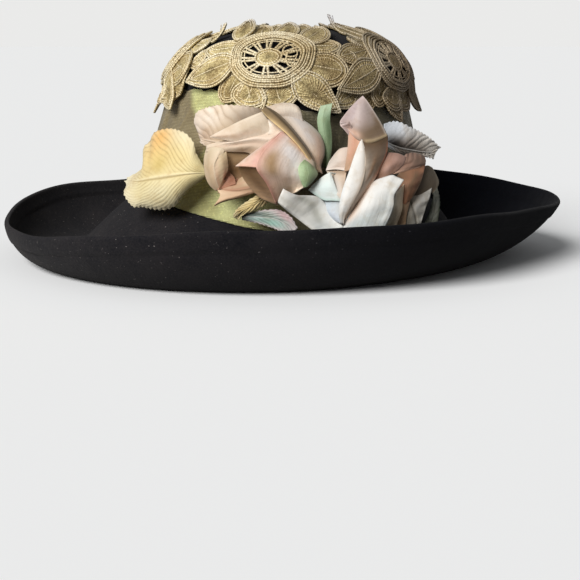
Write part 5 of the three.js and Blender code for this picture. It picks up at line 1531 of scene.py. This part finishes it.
# A leaf's foot is its stem's end, and its tones go stem, middle, edge, tip and groove; the groove tone
# is painted shade for the pressed grooves. Stains and patches of painted light and shade each have their
# u and v, their width, their colour and their strength, and a rib is a midrib that isn't in the middle.
# press, wave, dome and teeth are heights and depths in millimetres, slant is how far the veins run on
# towards the tip, crinkle how uneven they are, and calm a place, and how wide, without them.
LEAVES = [
    dict(
        name="leaf_gold", slot="leaf_gold",
        sides=[
            [(205.5, 178, -104)],
            [(205.2, 168, -104), (200.8, 161.6, -103.5), (195.7, 151.4, -101.5), (193.8, 142, -99),
             (189.3, 136, -95), (184, 131.7, -91), (174, 128.4, -81), (166, 128.2, -75), (156, 131, -69),
             (152.3, 135.5, -66.5), (150, 141, -65), (144.5, 146, -64), (143.2, 154, -67), (145, 163, -71),
             (140, 170.5, -71.5)],
            [(127, 177.5, -70)],
            [(124.3, 181, -70.5), (126.3, 186, -72), (123.6, 192.2, -74), (125.5, 198.6, -77),
             (133.2, 207.4, -82), (142, 207.6, -85), (156.1, 210.3, -90.5), (166.3, 210.1, -93.5),
             (175.3, 206.3, -96.5), (181.6, 198.6, -99), (189.3, 189.7, -102), (199.5, 182, -104)],
        ],
        rib=[(205.4, 173, -106), (189.3, 173.6, -105), (171.4, 175.4, -99), (151, 178.2, -89),
            (138.3, 180.6, -80), (127, 180, -71)],
        tones=[(226, 212, 160), (238, 220, 162), (244, 234, 200), (240, 232, 202), (172, 145, 88)],
        # An orange dye patch, painted highlights in pale yellow and painted olive shade near the middle.
        stains_and_painted_light=[(0.8, 0.58, 0.2, (246, 214, 140), 0.7), (0.3, 0.5, 0.25, (246, 240, 206), 0.7),
            (0.93, 0.54, 0.11, (248, 196, 118), 0.85), (0.64, 0.52, 0.1, (214, 190, 108), 0.6),
            (0.9, 0.8, 0.1, (240, 216, 150), 0.7)],
        steps=100, veins=10, slant=0.5, press=0.75, teeth=0.9, wave=1.3, dome=3,
    ),
    dict(
        name="leaf_ivory", slot="leaf_ivory",
        sides=[
            [(265, 130, -101)],
            [(264, 109, -98), (247, 105.5, -96), (222, 104.2, -90), (207, 107, -85), (196.5, 112, -81)],
            [(193.8, 122, -80), (195.5, 132, -82)],
            [(199.5, 142.5, -86), (215, 149, -94), (240, 144, -99)],
        ],
        rib=[(265, 133, -102), (245, 139, -101), (225, 142.5, -97), (210, 141, -91), (200, 138.5, -86)],
        # Painted shade browns the stem end, under the cream petal, and patches along the middle.
        tones=[(118, 98, 74), (216, 194, 166), (244, 228, 208), (240, 226, 212), (170, 144, 116)],
        stains_and_painted_light=[(0.6, 0.48, 0.16, (186, 158, 124), 0.8), (0.8, 0.24, 0.18, (118, 96, 70), 0.95),
            (0.6, 0.85, 0.16, (184, 150, 120), 0.6), (0.9, 0.7, 0.12, (246, 236, 224), 0.8)],
        steps=80, veins=5, crinkle=0.012, slant=0.28, press=1.2, teeth=0.8, wave=1.4, dome=2,
    ),
    dict(
        name="leaf_small_gold", slot="leaf_gold",
        sides=[
            [(267, 203, -118.5)],
            [(260, 192.5, -118), (250, 199, -119), (240, 206, -119), (234.5, 212, -118.5)],
            [(233, 217, -118)],
            [(238.5, 220, -117.5), (244, 215, -118.5), (253, 212, -119), (262, 207, -119)],
        ],
        tones=[(176, 152, 106), (222, 202, 146), (232, 216, 166), (226, 212, 166), (118, 92, 56)],
        stains_and_painted_light=[(0.5, 0.5, 0.2, (214, 190, 124), 0.6)],
        veins=3, slant=0.5, press=2.0, teeth=0.5, wave=1.0, dome=2,
    ),
    dict(
        name="leaf_teal", slot="leaf_teal",
        sides=[
            [(242, 213.5, -117)],
            [(242, 220, -117.5), (262, 225, -119.5), (275, 229.5, -120.5)],
            [(290, 235, -121)],
            [(298, 228, -121.5), (291, 216.5, -120.5), (279, 209.5, -119.5), (262, 210, -118.5)],
        ],
        tones=[(58, 62, 58), (176, 200, 192), (228, 212, 212), (224, 218, 218), (60, 92, 80)],
        stains_and_painted_light=[(0.3, 0.25, 0.2, (66, 72, 66), 0.9), (0.2, 0.7, 0.2, (230, 190, 194), 0.8),
            (0.75, 0.55, 0.15, (176, 220, 206), 0.8)],
        veins=4, slant=0.5, press=0.8, teeth=0.6, wave=0.8, dome=1.5,
    ),
    dict(
        name="leaf_strap", slot="leaf_green",
        sides=[
            [(324.5, 168, -104)],
            [(328.5, 167, -105), (331.5, 150, -104), (331.5, 135, -103.5), (330, 120, -102),
             (331, 110, -100.5)],
            [(332.5, 103.3, -98.5)],
            [(320.5, 106, -99.5), (317.3, 119, -102), (318.8, 132, -103.5), (322, 150, -104)],
        ],
        tones=[(104, 122, 86), (136, 156, 120), (152, 174, 136), (190, 212, 182), (108, 130, 92)],
        stains_and_painted_light=[(0.8, 0.6, 0.3, (120, 150, 112), 0.7), (0.3, 0.7, 0.2, (172, 200, 162), 0.6)],
        veins=0, slant=0, press=0.5, teeth=0.0, wave=0.5, dome=1.5,
    ),
    dict(
        name="leaf_bud", slot="leaf_green",
        sides=[
            [(303.2, 187, -131)],
            [(307, 187, -130), (313, 181, -128.5), (317.5, 174, -126.5), (314.5, 168, -127)],
            [(309.5, 163, -129)],
            [(304.5, 159.5, -131.5), (300, 164, -133.5), (298.2, 170, -134), (300, 179, -133)],
        ],
        # Painted shade darkens the bud's right side, in the body's shadow; a painted highlight lightens its
        # left.
        tones=[(186, 214, 166), (196, 224, 174), (206, 228, 184), (190, 214, 166), (150, 172, 126)],
        stains_and_painted_light=[(0.95, 0.3, 0.35, (112, 120, 92), 0.95), (0.9, 0.8, 0.2, (140, 150, 116), 0.8),
            (0.15, 0.6, 0.25, (226, 248, 204), 0.9)],
        veins=0, slant=0, press=0.3, teeth=0.0, wave=0.3, dome=1.5,
    ),
    dict(
        name="leaf_ruffled", slot="leaf_ivory",
        sides=[
            [(384, 124, -83), (385, 136, -84)],
            [(388, 146, -85), (397, 151.5, -82), (405, 154, -79), (424.5, 157, -70)],
            [(433.5, 159.5, -66), (438, 153, -63.5)],
            [(441, 147.3, -62), (430, 137.3, -66.5), (419.8, 131, -70), (410.5, 126.5, -74),
             (399, 121.2, -78), (391, 121, -81)],
        ],
        rib=[(384, 141, -84), (398, 147, -82), (412, 150, -76), (426, 152, -70), (436, 152, -64.5)],
        tones=[(226, 232, 240), (160, 148, 136), (236, 234, 232), (244, 240, 234), (60, 48, 40)],
        # Painted shadow browns its lower left, between the hood and the mauve petals; a painted highlight
        # whitens its stem end.
        stains_and_painted_light=[(0.08, 0.2, 0.22, (232, 238, 246), 0.95), (0.45, 0.27, 0.13, (70, 56, 48), 0.95),
            (0.44, 0.17, 0.15, (30, 22, 18), 1.0), (0.42, 0.48, 0.12, (76, 62, 54), 0.9),
            (0.5, 0.68, 0.1, (104, 90, 78), 0.7), (0.15, 0.8, 0.25, (216, 210, 202), 0.8),
            (0.9, 0.5, 0.2, (110, 96, 86), 0.8)],
        calm=(0.05, 0.1, 0.35), steps=80, veins=6, crinkle=0.02, slant=0.25, press=2.2, teeth=0.9, wave=2.0,
        dome=2,
    ),
    dict(
        name="leaf_green", slot="leaf_green",
        sides=[
            [(423, 226, -93)],
            [(437, 225, -90), (439.8, 210, -86), (440, 199, -83)],
            [(437.5, 187, -80.5)],
            [(431.5, 188.5, -82), (432.5, 198, -85), (429, 212, -90)],
        ],
        tones=[(120, 122, 106), (168, 170, 158), (52, 66, 46), (150, 150, 136), (60, 72, 52)],
        stains_and_painted_light=[(0.1, 0.5, 0.12, (48, 62, 44), 0.8), (0.95, 0.5, 0.12, (70, 84, 62), 0.8)],
        veins=3, slant=0.3, press=0.6, teeth=0.5, wave=0.6, dome=1.0,
    ),
]
# A leaf's steps and thickness, the length of a tooth, and the millimetres of cloth across and along.
LEAF_STEPS, LEAF_THICK, TOOTH, LEAF_CLOTH = 50, 0.45, 2.6, (15, 40)


def leaf(shape):
    """A leaf as a closed thin shell: the stretched surface from stem to tip, with
    a raised midrib and a groove beside it, ribs that slant from it to the edge,
    slow waves, and an edge cut in small teeth. The ribs are powers of a sine of
    the place along the leaf, less the slant times the distance from the midrib."""
    steps = shape.get("steps", LEAF_STEPS)
    u, v = square(steps)
    s = 2 * u - 1
    off = np.abs(s)
    point = stretched(shape["sides"], u, v)
    if "rib" in shape:
        aside = wire(seen(shape["rib"]), v[0]) - point[steps // 2]
        point = point + aside[None] * (1 - s**2)[..., None]
    middle = point[steps // 2 - 1 : steps // 2 + 1].mean(0, keepdims=True)
    long = np.linalg.norm(np.diff(middle[0], axis=0), axis=1).sum()
    teeth = shape["teeth"] * np.abs((v * long / TOOTH + 0.3 * np.sin(9 * v)) % 1 - 0.5) * 2
    inward = middle - point
    inward /= np.linalg.norm(inward, axis=-1, keepdims=True) + 1e-6
    point = point + inward * (teeth * smooth(off, 0.8, 1.0) * smooth(v, 0.0, 0.12))[..., None]
    groove, ribs = 0 * s, 0 * s
    if shape["veins"]:
        bend = 0.012 * np.sin(14 * v + 5 * s) + 0.008 * np.sin(33 * v)
        bend = bend + shape.get("crinkle", 0) * np.sin(9 * s + 21 * v)
        phase = (v - shape["slant"] * off + bend) * shape["veins"] * 1.6
        ribs = np.abs(np.sin(math.pi * phase)) ** 0.6
        calm_u, calm_v, calm_wide = shape.get("calm", (0, 0, 0.001))
        pressed = 1 - hump(np.hypot(u - calm_u, v - calm_v), 0, calm_wide)
        groove = (1 - ribs) ** 1.5 * smooth(off, 0.03, 0.12) * pressed
        ribs = ribs * smooth(off, 0.0, 0.25) * (0.75 + 0.35 * np.sin(7 * v + 4 * s)) * pressed
    midrib = hump(s, 0.025, 0.03) * smooth(1 - v, 0.0, 0.1)
    beside = hump(s, -0.03, 0.028) * smooth(1 - v, 0.0, 0.15)
    lift = shape["press"] * (0.6 * ribs + 0.6 * midrib - 0.25 * beside)
    lift = lift + shape["dome"] * 4 * v * (1 - v) * (1 - s**2)
    lift = lift + shape["wave"] * (0.5 * np.sin(6 * v + 2.5 * s) + 0.4 * np.sin(11 * v - 3 * s + 1)) * off
    point = raised_to_eye(point, lift)
    stem, main, edge, tip, line = (tone(*c) for c in shape["tones"])
    shade = dyed(main, edge, smooth(off, 0.45, 1.0))
    shade = dyed(shade, tip, smooth(v, 0.65, 1.0))
    shade = dyed(shade, stem, 1 - smooth(v, 0.0, 0.3))
    for at_u, at_v, wide, colour, strength in shape["stains_and_painted_light"]:
        shade = dyed(shade, tone(*colour), strength * hump(np.hypot(u - at_u, v - at_v), 0, wide))
    # Painted shade darkens the grooves between the ribs and the groove beside the midrib, and a painted
    # highlight lightens the raised midrib.
    groove_shade_strength = 0.62 + 0.38 * np.sin(9 * v - 5 * s + 1)
    lines = np.clip(0.85 * groove * groove_shade_strength + 0.7 * beside, 0, 1) if shape["veins"] else 0.25 * beside
    shade = dyed(shade, line, lines)
    shade = dyed(shade, 1.15 * edge, 0.4 * midrib)
    run = np.stack([s * LEAF_CLOTH[0], v * LEAF_CLOTH[1], 0 * s], -1)
    piece = add_piece(
        shape["name"] + "_fine",
        both_sides(point, LEAF_THICK),
        shell_faces(steps, steps),
        shape["slot"],
        [shape["name"]],
        tone=twice(shade),
        cloth=twice(run),
    )
    piece.data.materials.append(leaf_silk)


leaf_silk = silk("pressed_sateen", 0.5, 0.3, 0.15)
for shape in LEAVES:
    leaf(shape)


# The studio: a pale floor without an edge, a soft light like a hazy sun high at the front left, an
# even dim light from the whole room, and a camera at the photograph's angle, a little above the brim.
FLOOR_REACH = 40
floor_mesh = bpy.data.meshes.new("floor")
corners = [(x * FLOOR_REACH, y * FLOOR_REACH, 0) for x, y in ((-1, -1), (1, -1), (1, 1), (-1, 1))]
floor_mesh.from_pydata(corners, [], [(0, 1, 2, 3)])
floor = bpy.data.objects.new("floor", floor_mesh)
bpy.context.collection.objects.link(floor)
# The floor throws back less light than it shows, as a floor further away would.
FLOOR_LIGHT, FLOOR_SEEN = (0.42, 0.42, 0.42), (0.945, 0.965, 0.99)
floor_look, tree, shader = new_material("pale_floor", 0.9, Specular_IOR_Level=0.0)
shown = node(tree, "LightPath").outputs["Is Camera Ray"]
tree.links.new(mixed(tree, shown, FLOOR_LIGHT, FLOOR_SEEN), shader.inputs["Base Color"])
floor.data.materials.append(floor_look)

# Seen directly, the room is as pale as the lit floor, so no horizon shows; as light it is dimmer.
ROOM_LIGHT, ROOM_SEEN = 0.2, 0.825
world = bpy.data.worlds.new("studio")
bpy.context.scene.world = world
bpy.context.scene.view_settings.view_transform = "Standard"
world.use_nodes = True
room = world.node_tree.nodes["Background"]
room.inputs["Color"].default_value = (1, 1, 0.99, 1)
ray = node(world.node_tree, "LightPath").outputs["Is Camera Ray"]
strength = remap(world.node_tree, ray, 0.0, 1.0, ROOM_LIGHT, ROOM_SEEN)
world.node_tree.links.new(strength, room.inputs["Strength"])

KEY_FROM, KEY_SPREAD, KEY_POWER = np.array([-0.47, -0.7, 0.54]), 34, 3.9
key = bpy.data.objects.new("key", bpy.data.lights.new("key", "SUN"))
key.data.energy = KEY_POWER
key.data.angle = KEY_SPREAD * DEG
key.data.color = (1, 0.98, 0.95)
key_height = math.atan2(KEY_FROM[2], math.hypot(KEY_FROM[0], KEY_FROM[1]))
key_turn = math.atan2(KEY_FROM[1], KEY_FROM[0])
key.rotation_euler = (math.pi / 2 - key_height, 0, key_turn + math.pi / 2)
bpy.context.collection.objects.link(key)

SENSOR = 36
camera = bpy.data.objects.new("camera", bpy.data.cameras.new("camera"))
camera.data.sensor_width = SENSOR
camera.data.lens = EYE_FOCAL / PICTURE * SENSOR
camera.location = EYE * 0.001
camera.rotation_euler = ((90 - EYE_PITCH) * DEG, 0, -EYE_TURN * DEG)
bpy.context.collection.objects.link(camera)
bpy.context.scene.camera = camera
